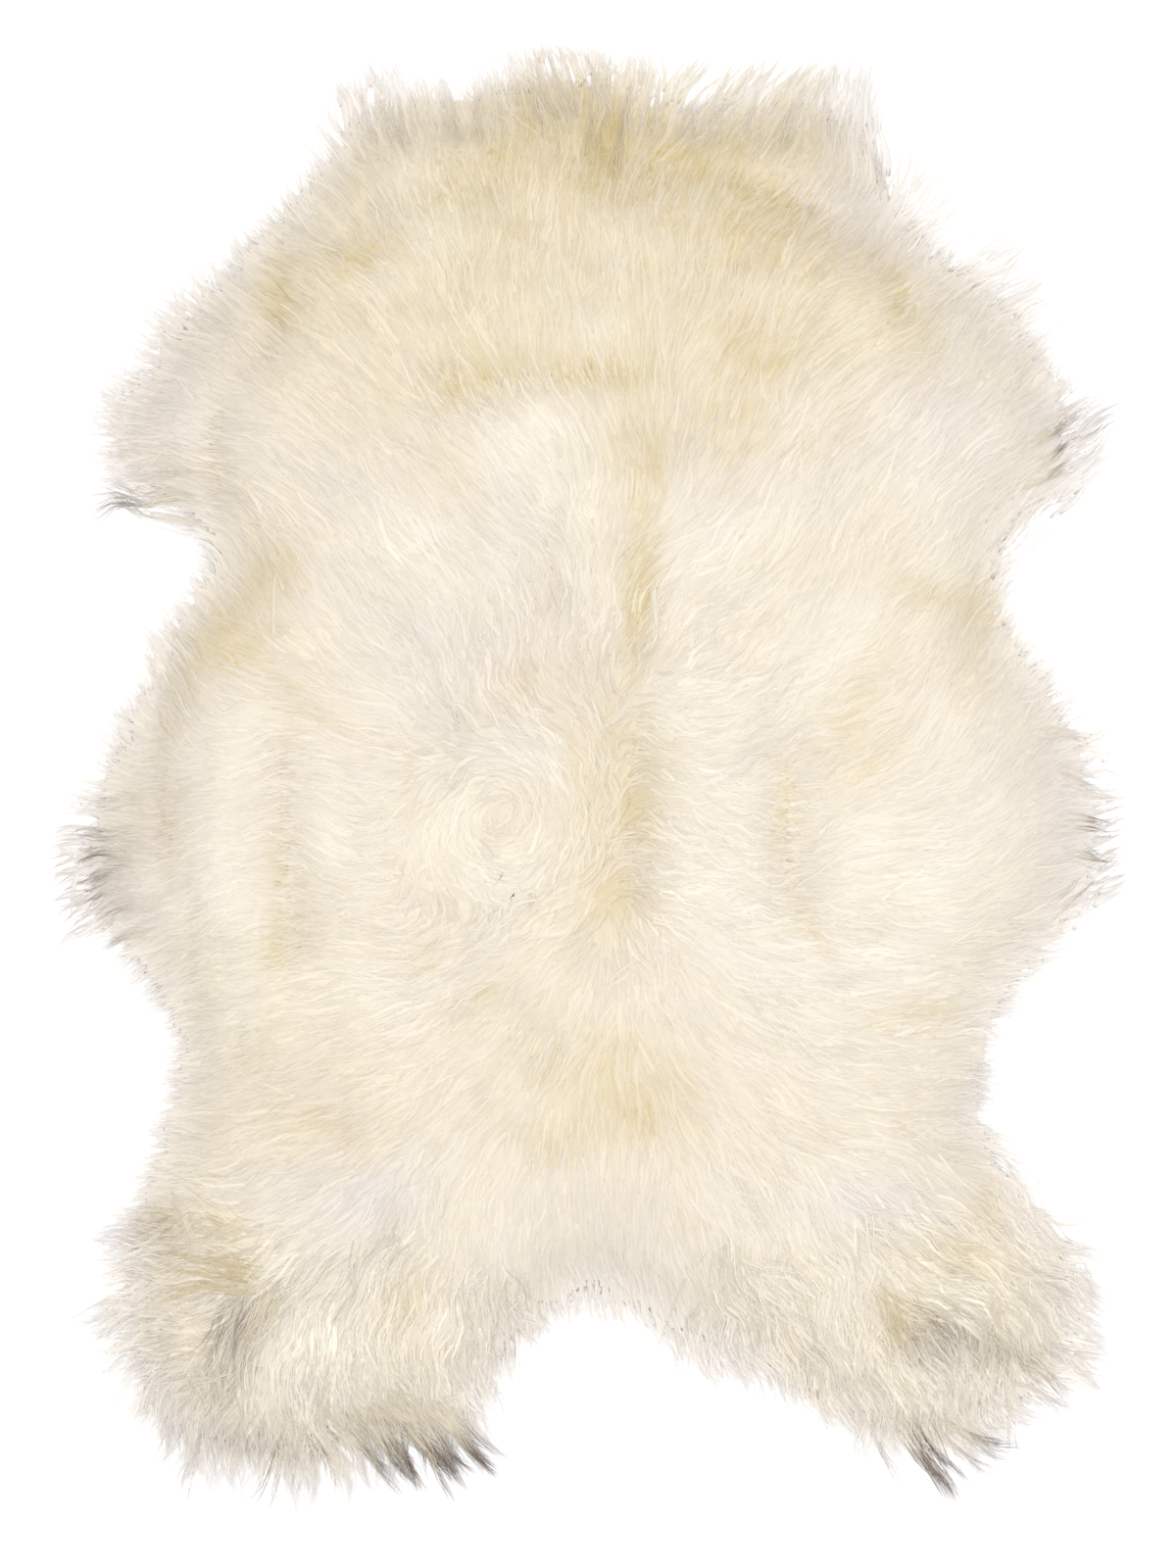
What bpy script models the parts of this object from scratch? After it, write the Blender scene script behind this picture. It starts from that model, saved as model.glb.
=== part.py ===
"""A long-woolled sheepskin rug: one whole pelt laid flat on the floor, wool side up.

Two pieces. The hide is the tanned skin, a thin flat sheet with the outline of the pelt: neck at +Y, fore legs and
hind legs at its corners. The fleece is the wool that grows on it: a lumpy slab, thick over the body and falling to
the floor past the hide's edge, where it ends in pointed locks that lie on the floor.

Metres, +Z up. The floor is z = 0, and the origin is below the middle of the rug's box.
"""

import math
import random
from collections import namedtuple

import bmesh
import bpy
import numpy as np
from mathutils import Matrix, Vector, noise
from mathutils.geometry import delaunay_2d_cdt

MM = 0.001

# ---- Driving sizes -------------------------------------------------------------------------------------------
HIDE_THICKNESS = 1.8 * MM
HIDE_INSET = 24.0 * MM  # how far the dense wool reaches past the hide's edge
GAP = 0.3 * MM  # between the hide and the wool above it
POCKET_GAP = 0.6 * MM  # between the hide's edge and the wool beside it

LOFT = 46.0 * MM  # height of the wool over the body
RIM_HEIGHT = 8.5 * MM  # height of the wool's own edge
ROUND_OFF = 95.0 * MM  # how far in from the edge the wool reaches its full loft
ROUND_POWER = 0.75  # below 1 the wool rises fast behind its edge
THINNEST_WOOL = 7.0 * MM

# The wool lies away from the line of the spine, whose two ends are these (x, y)
SPINE_FRONT = np.array([-6.0, 33.0]) * MM
SPINE_BACK = np.array([26.0, -143.0]) * MM
MOUND_SIZE = 55.0 * MM
MOUND_HEIGHT = 8.0 * MM
TUFT_WIDTH = 24.0 * MM
TUFT_LENGTH = 62.0 * MM  # the tufts are drawn out along the lie of the wool
TUFT_HEIGHT = 9.0 * MM
TUFT_SAMPLES = 5  # taken along a tuft's length and averaged, which draws it out
MOUND_LAYER = 3.7  # heights at which the mounds and the tufts are cut from the same noise
TUFT_LAYER = 9.1

LOCK_COUNT = 216  # pointed locks round the edge
TUFT_OF = 3  # neighbouring locks that gather into one tuft
LOCK_ROOTS = (0.75, 1.25)  # range of a root's width, as a share of the mean one
LOCK_GAP = 0.12  # between two locks of a tuft, as a share of the mean root
TUFT_GAP = 0.42  # between two tufts
TUFT_GATHER = math.radians(9.0)  # the outer locks of a tuft lean in by this much
OUTER_LOCK_LENGTHS = (0.60, 0.86)  # range, as a share of the reach at that place
MIDDLE_LOCK_LENGTHS = (0.88, 1.05)
LOCK_CURL = math.radians(12.0)  # how far a lock turns between its root and its tip
CURL_CHANGE = 0.37  # how fast the curl swings from one lock to the next, in radians
# Each step out along a lock: how far out, then the width and the height left there
LOCK_STEPS = ((0.42, 0.78, 0.74), (0.78, 0.42, 0.40))
TIP_HEIGHT = 0.8 * MM

CURVE_STEP = 0.05  # share of the way from one row of the outline to the next
TOP_STEP = 20.0 * MM  # spacing of the points over the wool
CLEAR_OF_RIM = 0.55  # the nearest of them to the wool's edge, as a share of that spacing
HIDE_STEP = 26.0 * MM  # spacing of the points along the hide's edge
CREASE_STEPS = 12
TRIANGLES_INSIDE = 1  # the triangulation keeps what lies inside its border
CDT_EPSILON = 1e-7
SHARP_ANGLE = math.radians(50.0)
SEED = 11

# ---- Materials: linear colour and roughness ------------------------------------------------------------------
Surface = namedtuple("Surface", "name colour roughness")
CREAM_WOOL = Surface("cream_wool", (0.88, 0.83, 0.72), 0.90)
SUEDE_HIDE = Surface("suede_hide", (0.74, 0.60, 0.43), 0.85)

# ---- The pelt's outline --------------------------------------------------------------------------------------
# Where the dense wool ends, clockwise from the neck, in millimetres. reach is how far the locks go on from there,
# and lean turns them from straight out: positive is clockwise as seen from above, in degrees.
Edge = namedtuple("Edge", "x y reach lean")
OUTLINE = [
    # neck
    Edge(2, 562, 40, 5),
    Edge(52, 536, 32, -6),
    Edge(110, 538, 28, 4),
    Edge(168, 538, 34, -4),
    Edge(200, 530, 44, -18),
    # right of the neck and right shoulder
    Edge(226, 488, 34, -20),
    Edge(258, 443, 28, -16),
    Edge(300, 404, 30, 0),
    Edge(344, 366, 32, 8),
    # right fore leg
    Edge(372, 318, 32, 0),
    Edge(390, 286, 42, -6),
    Edge(372, 254, 38, -14),
    Edge(340, 222, 26, -10),
    # right side, from the arm pit over the belly to the waist
    Edge(322, 180, 20, 0),
    Edge(324, 138, 22, 0),
    Edge(350, 92, 30, -8),
    Edge(384, 36, 34, -12),
    Edge(403, -24, 33, -6),
    Edge(400, -74, 32, 6),
    Edge(366, -118, 32, 8),
    Edge(332, -166, 26, 4),
    Edge(313, -226, 24, 0),
    Edge(310, -286, 26, 0),
    # right hind leg
    Edge(336, -336, 34, 4),
    Edge(372, -372, 36, 4),
    Edge(386, -418, 34, 6),
    Edge(376, -464, 42, 2),
    Edge(334, -496, 36, 0),
    Edge(290, -524, 56, -10),
    Edge(240, -518, 38, -18),
    Edge(190, -486, 32, -12),
    Edge(134, -456, 30, 4),
    # between the hind legs
    Edge(78, -434, 28, 10),
    Edge(34, -408, 26, 6),
    Edge(0, -396, 22, 0),
    Edge(-38, -414, 24, -8),
    Edge(-76, -456, 28, -14),
    # left hind leg
    Edge(-104, -498, 40, -10),
    Edge(-132, -528, 62, -22),
    Edge(-184, -544, 46, -10),
    Edge(-240, -554, 54, 0),
    Edge(-292, -550, 52, 8),
    Edge(-330, -520, 38, 10),
    Edge(-352, -468, 30, 0),
    Edge(-364, -408, 30, 6),
    Edge(-350, -346, 28, 8),
    # left side, from the waist over the belly to the arm pit
    Edge(-328, -282, 28, 0),
    Edge(-316, -226, 26, -4),
    Edge(-328, -172, 28, -4),
    Edge(-364, -126, 34, -6),
    Edge(-396, -84, 36, 0),
    Edge(-392, -34, 36, 6),
    Edge(-366, 26, 34, 12),
    Edge(-346, 84, 32, 14),
    Edge(-322, 134, 28, 10),
    Edge(-294, 166, 18, 2),
    # left fore leg
    Edge(-292, 206, 18, 4),
    Edge(-330, 234, 32, 16),
    Edge(-370, 252, 44, 16),
    Edge(-374, 288, 42, 10),
    Edge(-348, 326, 32, 14),
    # left shoulder and left of the neck
    Edge(-318, 370, 30, 14),
    Edge(-276, 412, 32, 14),
    Edge(-246, 452, 32, 16),
    Edge(-206, 492, 26, 8),
    Edge(-184, 528, 38, 10),
    Edge(-140, 544, 34, 10),
    Edge(-80, 548, 32, 8),
    Edge(-36, 558, 34, 6),
]

# ---- Partings and creases in the wool ------------------------------------------------------------------------
# Soft troughs, each a bow from one end through its middle to the other end, in millimetres.
Crease = namedtuple("Crease", "x1 y1 xm ym x2 y2 depth width")
CREASES = [
    Crease(-262, 352, -202, 448, -84, 482, 14, 20),  # collar, left half
    Crease(24, 500, 160, 470, 268, 392, 16, 22),  # collar, right half
    Crease(18, 548, 26, 520, 16, 484, 13, 16),  # parting in the middle of the neck
    Crease(-132, 330, -60, 322, 30, 336, 10, 18),  # where the neck wool ends on the back
    Crease(-34, 280, -40, 216, -30, 150, 13, 16),  # parting behind the shoulders
    Crease(40, 190, 46, 130, 44, 78, 11, 18),
    Crease(34, 92, 30, 0, 24, -120, 15, 30),  # short curled wool along the spine
    Crease(160, 40, 166, -20, 164, -72, 15, 16),  # right side
    Crease(-248, 20, -240, -60, -236, -120, 13, 16),  # left side
    Crease(-300, 300, -302, 262, -300, 220, 11, 16),
    Crease(-346, 30, -352, -30, -330, -80, 10, 16),
    Crease(-252, 430, -258, 400, -256, 366, 10, 15),
    Crease(-150, -150, -92, -176, -40, -220, 10, 17),  # rump
    Crease(-306, -424, -290, -456, -284, -500, 13, 19),  # hollow in the left hind leg
    Crease(270, -440, 302, -458, 338, -466, 14, 18),  # hollow in the right hind leg
]


def rounded_outline(rows):
    """The closed smooth curve through the outline's rows, as (x, y, reach, lean) arrays in metres and radians."""
    units = np.array([MM, MM, MM, math.radians(1.0)])
    knots = np.array(rows, float) * units
    before, after = np.roll(knots, 1, axis=0), np.roll(knots, -1, axis=0)
    beyond = np.roll(knots, -2, axis=0)
    pieces = []
    for t in np.arange(0.0, 1.0, CURVE_STEP):
        # Catmull-Rom between each knot and the next
        pieces.append(
            knots
            + 0.5 * t * (after - before)
            + 0.5 * t**2 * (2 * before - 5 * knots + 4 * after - beyond)
            + 0.5 * t**3 * (3 * knots - before - 3 * after + beyond)
        )
    return np.stack(pieces, axis=1).reshape(-1, 4)


def along(curve, shares):
    """The curve's rows at these shares of its length round."""
    closed = np.vstack([curve, curve[:1]])
    steps = np.linalg.norm(np.diff(closed[:, :2], axis=0), axis=1)
    run = np.concatenate([[0.0], np.cumsum(steps)]) / steps.sum()
    return np.stack([np.interp(shares, run, closed[:, i]) for i in range(4)], axis=1)


def outward(points):
    """Unit normals of a closed clockwise loop, pointing away from the pelt."""
    ahead = np.roll(points, -1, axis=0) - np.roll(points, 1, axis=0)
    normals = np.stack([-ahead[:, 1], ahead[:, 0]], axis=1)
    return normals / np.linalg.norm(normals, axis=1, keepdims=True)


def length_round(curve):
    return np.linalg.norm(curve[:, :2] - np.roll(curve[:, :2], 1, axis=0), axis=1).sum()


def inside(points, loop):
    """True for each point that lies inside the closed loop."""
    x, y = points[:, 0, None], points[:, 1, None]
    ax, ay = loop[:, 0], loop[:, 1]
    bx, by = np.roll(ax, -1), np.roll(ay, -1)
    spans = (ay > y) != (by > y)
    rise = np.where(by == ay, 1.0, by - ay)
    crosses = spans & (x < (bx - ax) * (y - ay) / rise + ax)
    return crosses.sum(axis=1) % 2 == 1


def distance_to(points, path):
    """How far each point is from a path of straight runs."""
    start, run = path[:-1], np.diff(path, axis=0)
    share = ((points[:, None] - start) * run).sum(-1) / (run * run).sum(-1)
    nearest = start + np.clip(share, 0.0, 1.0)[..., None] * run
    return np.linalg.norm(points[:, None] - nearest, axis=-1).min(axis=1)


def distance_to_rim(points, rim):
    return distance_to(points, np.vstack([rim, rim[:1]]))


def bow(crease):
    """Points along the crease, which passes through its middle at half way."""
    start, middle, end = (
        np.array(place) * MM
        for place in ((crease.x1, crease.y1), (crease.xm, crease.ym), (crease.x2, crease.y2))
    )
    t = np.linspace(0.0, 1.0, CREASE_STEPS + 1)[:, None]
    return start * (1 - t) * (1 - 2 * t) + middle * 4 * t * (1 - t) + end * t * (2 * t - 1)


def crease_depths(points):
    """How much the creases take off the wool at these points."""
    depths = np.zeros(len(points))
    for crease in CREASES:
        share = np.exp(-((distance_to(points, bow(crease)) / (crease.width * MM)) ** 2))
        depths = np.maximum(depths, crease.depth * MM * share)
    return depths


def lie_of_wool(points):
    """Unit vectors along the wool at these points, away from the line of the spine."""
    run = SPINE_BACK - SPINE_FRONT
    share = np.clip((points - SPINE_FRONT) @ run / (run @ run), 0.0, 1.0)
    away = points - (SPINE_FRONT + share[:, None] * run)
    return away / np.maximum(np.linalg.norm(away, axis=1, keepdims=True), MM)


def noise_at(points, size, layer):
    return np.array([noise.noise(Vector((x / size, y / size, layer))) for x, y in points])


def wool_heights(points, from_edge):
    """Height of the wool's surface at these points, so far in from its edge."""
    rise = np.sin(np.minimum(1.0, from_edge / ROUND_OFF) * math.pi / 2) ** ROUND_POWER
    mounds = MOUND_HEIGHT * noise_at(points, MOUND_SIZE, MOUND_LAYER)
    lie = lie_of_wool(points)
    shifts = np.linspace(-0.5, 0.5, TUFT_SAMPLES) * TUFT_LENGTH
    drawn = [noise_at(points + lie * shift, TUFT_WIDTH, TUFT_LAYER) for shift in shifts]
    tufts = TUFT_HEIGHT * np.mean(drawn, axis=0)
    heights = RIM_HEIGHT + rise * (LOFT - RIM_HEIGHT + mounds + tufts - crease_depths(points))
    return np.maximum(THINNEST_WOOL, heights)


def material(surface):
    """A plain Principled material."""
    made = bpy.data.materials.new(surface.name)
    made.use_nodes = True
    shader = made.node_tree.nodes["Principled BSDF"]
    shader.inputs["Base Color"].default_value = (*surface.colour, 1.0)
    shader.inputs["Roughness"].default_value = surface.roughness
    shader.inputs["Metallic"].default_value = 0.0
    return made


def finished(bm, name, surface):
    """The bmesh as a named object with this surface."""
    bmesh.ops.recalc_face_normals(bm, faces=bm.faces)
    mesh = bpy.data.meshes.new(name)
    bm.to_mesh(mesh)
    bm.free()
    mesh.shade_smooth()
    mesh.set_sharp_from_angle(angle=SHARP_ANGLE)
    mesh.materials.append(material(surface))
    made = bpy.data.objects.new(name, mesh)
    bpy.context.scene.collection.objects.link(made)
    return made


def loop_of(bm, points, z):
    """A closed ring of vertices and edges at this height."""
    verts = [bm.verts.new((x, y, z)) for x, y in points]
    edges = [bm.edges.new((v, verts[i - 1])) for i, v in enumerate(verts)]
    return verts, edges


def wall(bm, lower, upper):
    """Quads between two rings with as many vertices each. Face i runs from vertex i - 1 to vertex i."""
    return [
        bm.faces.new((lower[i - 1], lower[i], upper[i], upper[i - 1]))
        for i in range(len(lower))
    ]


def fill(bm, edges):
    """Flat triangles inside the outer ring, leaving out an inner one."""
    bmesh.ops.triangle_fill(bm, use_beauty=True, edges=edges)


def hide_outline(curve, outset=0.0):
    """The hide's edge, or a ring this far outside it."""
    count = round(length_round(curve) / HIDE_STEP)
    rows = along(curve, np.arange(count) / count)[:, :2]
    return rows - outward(rows) * (HIDE_INSET - outset)


def build_hide(curve):
    """The tanned skin, flat on the floor."""
    bm = bmesh.new()
    edge = hide_outline(curve)
    lower, lower_edges = loop_of(bm, edge, 0.0)
    upper, upper_edges = loop_of(bm, edge, HIDE_THICKNESS)
    wall(bm, lower, upper)
    fill(bm, lower_edges)
    fill(bm, upper_edges)
    return finished(bm, "hide", SUEDE_HIDE)


def rim_rows(curve, rng):
    """The wool's edge as two rows for each lock: where its root starts and where it ends."""
    roots = [rng.uniform(*LOCK_ROOTS) for _ in range(LOCK_COUNT)]
    gaps = [TUFT_GAP if i % TUFT_OF == TUFT_OF - 1 else LOCK_GAP for i in range(LOCK_COUNT)]
    ends = np.cumsum(np.stack([roots, gaps], axis=1).reshape(-1))
    return along(curve, np.concatenate([[0.0], ends[:-1]]) / ends[-1])


def surface_points(rim):
    """Points spread evenly over the wool, clear of its edge."""
    low, high = rim.min(axis=0), rim.max(axis=0)
    rows = []
    for j, y in enumerate(np.arange(low[1], high[1], TOP_STEP * math.sqrt(3) / 2)):
        xs = np.arange(low[0] + TOP_STEP / 2 * (j % 2), high[0], TOP_STEP)
        rows.append(np.stack([xs, np.full_like(xs, y)], axis=1))
    points = np.vstack(rows)
    points = points[inside(points, rim)]
    return points[distance_to_rim(points, rim) > TOP_STEP * CLEAR_OF_RIM]


def wool_top(bm, rim, rim_verts):
    """The lumpy top of the wool, between the vertices of its edge."""
    points = surface_points(rim)
    heights = wool_heights(points, distance_to_rim(points, rim))
    inner = [bm.verts.new((x, y, z)) for (x, y), z in zip(points, heights, strict=True)]
    verts = rim_verts + inner
    border = [(i, (i + 1) % len(rim)) for i in range(len(rim))]
    flat = [Vector(point) for point in np.vstack([rim, points])]
    _, _, faces, sources, _, _ = delaunay_2d_cdt(flat, border, [], TRIANGLES_INSIDE, CDT_EPSILON)
    for face in faces:
        bm.faces.new([verts[sources[i][0]] for i in face])


def draw_out_lock(bm, root, ahead, length, curl):
    """Pulls one face of the wool's edge out into a pointed lock that lies on the floor."""
    middle = root.calc_center_median().xy
    across = Vector((-ahead.y, ahead.x))
    face, centre, wide_before, high_before = root, middle, 1.0, 1.0
    for out, wide, high in LOCK_STEPS:
        face = bmesh.ops.extrude_discrete_faces(bm, faces=[face])["faces"][0]
        turn = Matrix.Rotation(curl * out, 2)
        moved = middle + turn @ ahead * length * out
        for vert in face.verts:
            side = (vert.co.xy - centre).dot(across) * wide / wide_before
            vert.co.xy = moved + turn @ across * side
            vert.co.z *= high / high_before
        across = turn @ Vector((-ahead.y, ahead.x))
        centre, wide_before, high_before = moved, wide, high
    tip = middle + Matrix.Rotation(curl, 2) @ ahead * length
    poked = bmesh.ops.poke(bm, faces=[face])["verts"][0]
    poked.co = (tip.x, tip.y, TIP_HEIGHT)


def locks_round_the_edge(bm, rows, roots, rng):
    """Every lock, in tufts whose outer locks are shorter and lean in to the middle one."""
    normals = outward(rows[:, :2])
    for number, root in enumerate(roots):
        start, end = rows[2 * number], rows[2 * number + 1]
        reach, lean = (start[2:] + end[2:]) / 2
        place = number % TUFT_OF - TUFT_OF // 2
        lengths = OUTER_LOCK_LENGTHS if place else MIDDLE_LOCK_LENGTHS
        straight = Vector(normals[2 * number] + normals[2 * number + 1]).normalized()
        ahead = Matrix.Rotation(TUFT_GATHER * place - lean, 2) @ straight
        curl = LOCK_CURL * math.sin(number * CURL_CHANGE)
        draw_out_lock(bm, root, ahead, reach * rng.uniform(*lengths), curl)


def build_fleece(curve):
    """The wool: its lumpy top, its edge with locks, and below it the flat pocket that holds the hide."""
    bm = bmesh.new()
    rng = random.Random(SEED)
    rows = rim_rows(curve, rng)
    rim = rows[:, :2]
    lower, lower_edges = loop_of(bm, rim, 0.0)
    upper, _ = loop_of(bm, rim, RIM_HEIGHT)
    edge_faces = wall(bm, lower, upper)
    wool_top(bm, rim, upper)

    pocket = hide_outline(curve, outset=POCKET_GAP)
    mouth, mouth_edges = loop_of(bm, pocket, 0.0)
    roof, roof_edges = loop_of(bm, pocket, HIDE_THICKNESS + GAP)
    wall(bm, mouth, roof)
    fill(bm, lower_edges + mouth_edges)
    fill(bm, roof_edges)

    bmesh.ops.recalc_face_normals(bm, faces=bm.faces)
    # Face i of the edge ends at vertex i, so the odd ones are roots and the even ones the gaps between locks
    locks_round_the_edge(bm, rows, edge_faces[1::2], rng)
    return finished(bm, "fleece", CREAM_WOOL)


def centre_on_floor(pieces):
    """Shifts the meshes so that the box round them is centred on the origin."""
    places = np.array([v.co for piece in pieces for v in piece.data.vertices])
    middle = (places.min(axis=0) + places.max(axis=0)) / 2
    for piece in pieces:
        piece.data.transform(Matrix.Translation((-middle[0], -middle[1], 0.0)))


def main():
    for old in list(bpy.data.objects):
        bpy.data.objects.remove(old)
    curve = rounded_outline(OUTLINE)
    centre_on_floor([build_hide(curve), build_fleece(curve)])


main()
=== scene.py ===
"""The looks of a long-woolled sheepskin rug, round its packed hide and fleece.

The fleece's solid gives the wool its height and its reach. An undercoat fills it, and over the undercoat lie the
strands of wool, in locks: each lock follows the lie of the wool from its root, and its strands gather towards its
tip. Metres, +Z up, the floor at z = 0.
"""

import math
from collections import namedtuple

import bmesh
import bpy
import numpy as np
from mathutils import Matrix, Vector, noise
from mathutils.bvhtree import BVHTree


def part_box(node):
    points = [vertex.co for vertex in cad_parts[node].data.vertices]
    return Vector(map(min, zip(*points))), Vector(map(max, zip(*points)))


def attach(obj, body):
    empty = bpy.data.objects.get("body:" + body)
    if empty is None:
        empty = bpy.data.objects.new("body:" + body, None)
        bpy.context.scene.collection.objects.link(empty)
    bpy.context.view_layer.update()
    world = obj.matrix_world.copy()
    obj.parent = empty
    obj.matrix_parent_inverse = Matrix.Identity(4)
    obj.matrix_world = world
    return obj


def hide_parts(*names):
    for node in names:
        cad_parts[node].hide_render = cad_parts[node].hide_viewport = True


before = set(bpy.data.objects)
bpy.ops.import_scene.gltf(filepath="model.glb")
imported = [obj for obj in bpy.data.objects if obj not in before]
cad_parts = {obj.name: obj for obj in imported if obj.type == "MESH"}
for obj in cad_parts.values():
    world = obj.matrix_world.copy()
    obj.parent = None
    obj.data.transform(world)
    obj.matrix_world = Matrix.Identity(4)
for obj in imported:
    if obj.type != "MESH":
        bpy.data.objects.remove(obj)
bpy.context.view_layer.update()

MM = 0.001
SEED = 23

# ---- Sizes of the wool --------------------
GRID_STEP = 4.0 * MM  # of the height field read off the fleece's solid
GRID_MARGIN = 60.0 * MM
HEIGHT_BLUR = 7.0 * MM
REACH_BLUR = 13.0 * MM  # how softly the wool thins out past its edge
COVER_GAIN = 1.3
SPREAD_BLUR = 24.0 * MM  # how far the wool's height carries on past its edge
EDGE_BLUR = 26.0 * MM  # how far into the wool the painted light and shade of its edge goes
FALL_INNER = 0.36  # over this range of the soft cover the wool comes down to the floor
FALL_RANGE = 0.60
HAIR_THINNED = 0.60  # how far a thinned place thins the hairs, against the wisps

LOCK_SPACING = 17.0 * MM
LOCK_STEPS = 14  # steps along a lock's own line
ROOT_COVER = 0.56  # a root needs at least this much wool round it
ROOT_DEPTH = 1.0 * MM  # below the wool's surface
LOCK_LIFT = 0.15 * MM  # of one lock over the next
LIFT_SPREAD = 0.03 * MM
TUFTED_RIM = 0.7  # how unevenly the wool reaches past its edge
CUT_MOST = 0.985
SPREAD_FREE = 1.45  # less an area's gather, this sets how wide its locks are
BARE_BLUR = 8.0 * MM
BARE_BELOW = 0.5  # locks over a place, against the usual number
BARE_ROOTS = 0.10  # roots for each step of the grid where there are none
BARE_LOOSE = 12.0  # degrees by which those locks stray
RIM_COVER = 0.97  # rim hairs grow where there is less wool round a root than this
FADE_FROM = 0.55  # of the cover, past which the points of the hairs turn white: painted light, as if the white floor shone through them
FADE_OVER = 0.5
PAST_BOX = 15.0 * MM  # that a strand may reach past the box of the solids
STRAND_CORNERS = (-30.0, 90.0, 210.0)  # round a strand: an edge, its ridge and its other edge, in degrees
STRAND_SIDES = len(STRAND_CORNERS)
OWN_TURN = 5.0  # degrees by which locks differ from the wool round them
CLEAR_OF_FLOOR = 0.5 * MM
FLOOR_STACK = 0.4 * MM  # by which a lock's highest strand lies over its lowest on the floor
LOWEST_POINT = 0.1 * MM
THINNED_REACH = 0.7  # how far a thinned place draws in the white of the rim, which is painted light
EDGE_FROM = 0.92  # of the inner cover, below which the painted light and shade of the edge comes in
EDGE_OVER = 0.55
TRACK_POINTS = 25  # at which a strand is tested for where the wool ends
RIM_TUFT_SIZE = 22.0 * MM
LIFT_SIZE = 14.0 * MM
TONE_SPREAD = 0.2  # of the strands' own tones, and more where their loft is over SMOOTH_LOFT
TONE_LOFT_SPREAD = 0.42
SMOOTH_LOFT = 0.8
# painted light: the strands that lie higher in their lock are a little lighter
LIGHT_OF_RANK = 0.15
TONE_RANGE = (-2.4, 2.6)
TONE_SIZES = ((0.3, 7.0 * MM), (1.0, 34.0 * MM))  # weights and sizes of the lighter and darker places
SPOT_SCATTER = 7.0 * MM  # of a strand's own place among the colours
TUFT_WAVE_LENGTH = 52.0 * MM
INSIDE_GAIN = 1.6  # of the soft cover, over which the wool's own height takes over from the height carried on
INSIDE_FROM = 0.3
SPREAD_HEIGHT = 0.5  # that is left of the height carried on
COVERED = 0.8  # of the cover, from which locks have to lie over a place
ROOT_SCATTER = 0.35  # of a root round its place in an even grid, against the spacing
LOCK_LENGTHS = (0.85, 1.12)  # against their area's
BARE_LENGTH = 0.6  # of the locks added where few lie, against their area's
STRAIGHT_AT = 0.3  # of its length, where a lock's curl is nought
END_SPREAD = (1.6, 1.9)  # of the covers at which strands end, as a beta curve
STRAND_LENGTHS = (0.72, 1.0)  # against their lock's
TRACK_OFFSET = 0.8  # of a strand's offset from its lock's line, where its end is looked for
CLOSING_POWER = 1.3  # how late the strands of a lock close up
STRAY_TURN = 0.45  # sideways, against the run of a strand that strays
WAVE_SHIFT = 2.5  # from place to place, and from strand to strand
WAVE_SPREAD = 0.3
SWINGS = (0.5, 1.3)  # against the area's wave
SWING_SPREAD = 0.1
SWING_GROWTH = 3  # a wave has its full swing after one part in this many of a strand
STRAND_WIDTHS = (0.75, 1.25)  # against their kind's
ROOT_WIDTH = 0.6  # of a strand, against its widest place, which is halfway along SWELL_OVER
SWELL_OVER = 0.7
TIP_POWER = 1.8
TIP_WIDTH = 0.08
ROOT_STRIP = 0.08  # of a strand's cell in the map, and the margin round it
CELL_MARGIN = 0.08
TONE_LEAST = 0.6  # share of the tones of the locks, and more with the loft
TONE_BY_LOFT = 0.4
HAIR_DARKNESS = (0.5, 1.7)  # of single strands, against the patch they are in
YELLOW_SPREAD = (0.7, 1.3)
DARK_TIP_FROM = 0.25  # of a strand's length, and over how much of it the tip darkens
DARK_TIP_OVER = 0.5
# Layers of the noise, so that no two uses are alike.
LAYER = {
    "areas_x": 1.3, "areas_y": 5.7, "wander": 2.2, "tufts": 3.1, "lift": 3.3, "patches": 4.4, "swells": 6.6,
    "waves": 7.1, "tone": 8.2, "ragged": 8.8, "rim": 9.4,
}


def rows_of(kind, *rows):
    """A table's rows, each as one of this kind."""
    return [kind(*row) for row in rows]


# Each lock has flat wisps, which look like many fibres side by side, and single fibres over them; locks near the
# rim have fine hairs too, at_rim of them at the very edge. Half widths and lifts over the surface are in
# millimetres, at a strand's lowest and highest rank in its lock; depth is a strand's thickness as a share of its
# width; rise is the share of its length that it takes to come up from its root. A strand that passes the edge of
# the wool ends where the cover falls to its own share from cut_low to cut_high, and is left out where less than
# shortest of its lock's length is left.
Kind = namedtuple(
    "Kind",
    "at_rim steps half_low half_high depth lift_low lift_high rise spread gather stray"
    " cut_low cut_high shortest tone",
)
WISP = Kind(1, 7, 2.7, 1.5, 0.10, 0.02, 0.10, 0.16, 0.50, 0.4, 0.02, 0.02, 0.62, 0.20, 0.4)
FIBRE = Kind(3, 6, 0.56, 0.34, 0.30, 0.10, 0.28, 0.14, 0.54, 1.0, 0.05, 0.01, 0.40, 0.20, 0.9)
RIM_HAIR = Kind(22, 4, 0.28, 0.14, 0.50, 0.05, 0.60, 0.20, 0.60, 0.9, 0.12, 0.0005, 0.14, 0.12, 0.9)
KINDS = (WISP, FIBRE, RIM_HAIR)
TUFT_FINENESS = 1.7  # hairs made for each one in the table below
TUFT_POINTS = 4  # that a tuft splits into
TUFT_ROOTS = 18.0 * MM  # along which the roots of a tuft are spread
TUFT_SCATTER = 0.8  # of the hairs, against a tuft's half width
TUFT_POINT_LENGTHS = (0.78, 1.06)
TUFT_HAIR_LENGTHS = (0.85, 1.04)
TUFT_TURNS = (8.0, 2.5)  # degrees by which its points, and the hairs of a point, turn aside
TUFT_POINTS_CLOSE = 0.3  # how far the points, and the hairs of a point, come together
TUFT_HAIRS_CLOSE = 0.95
TUFT_CLOSE_POWER = 0.8
TUFT_WAVE_SPREAD = 0.35
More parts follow.
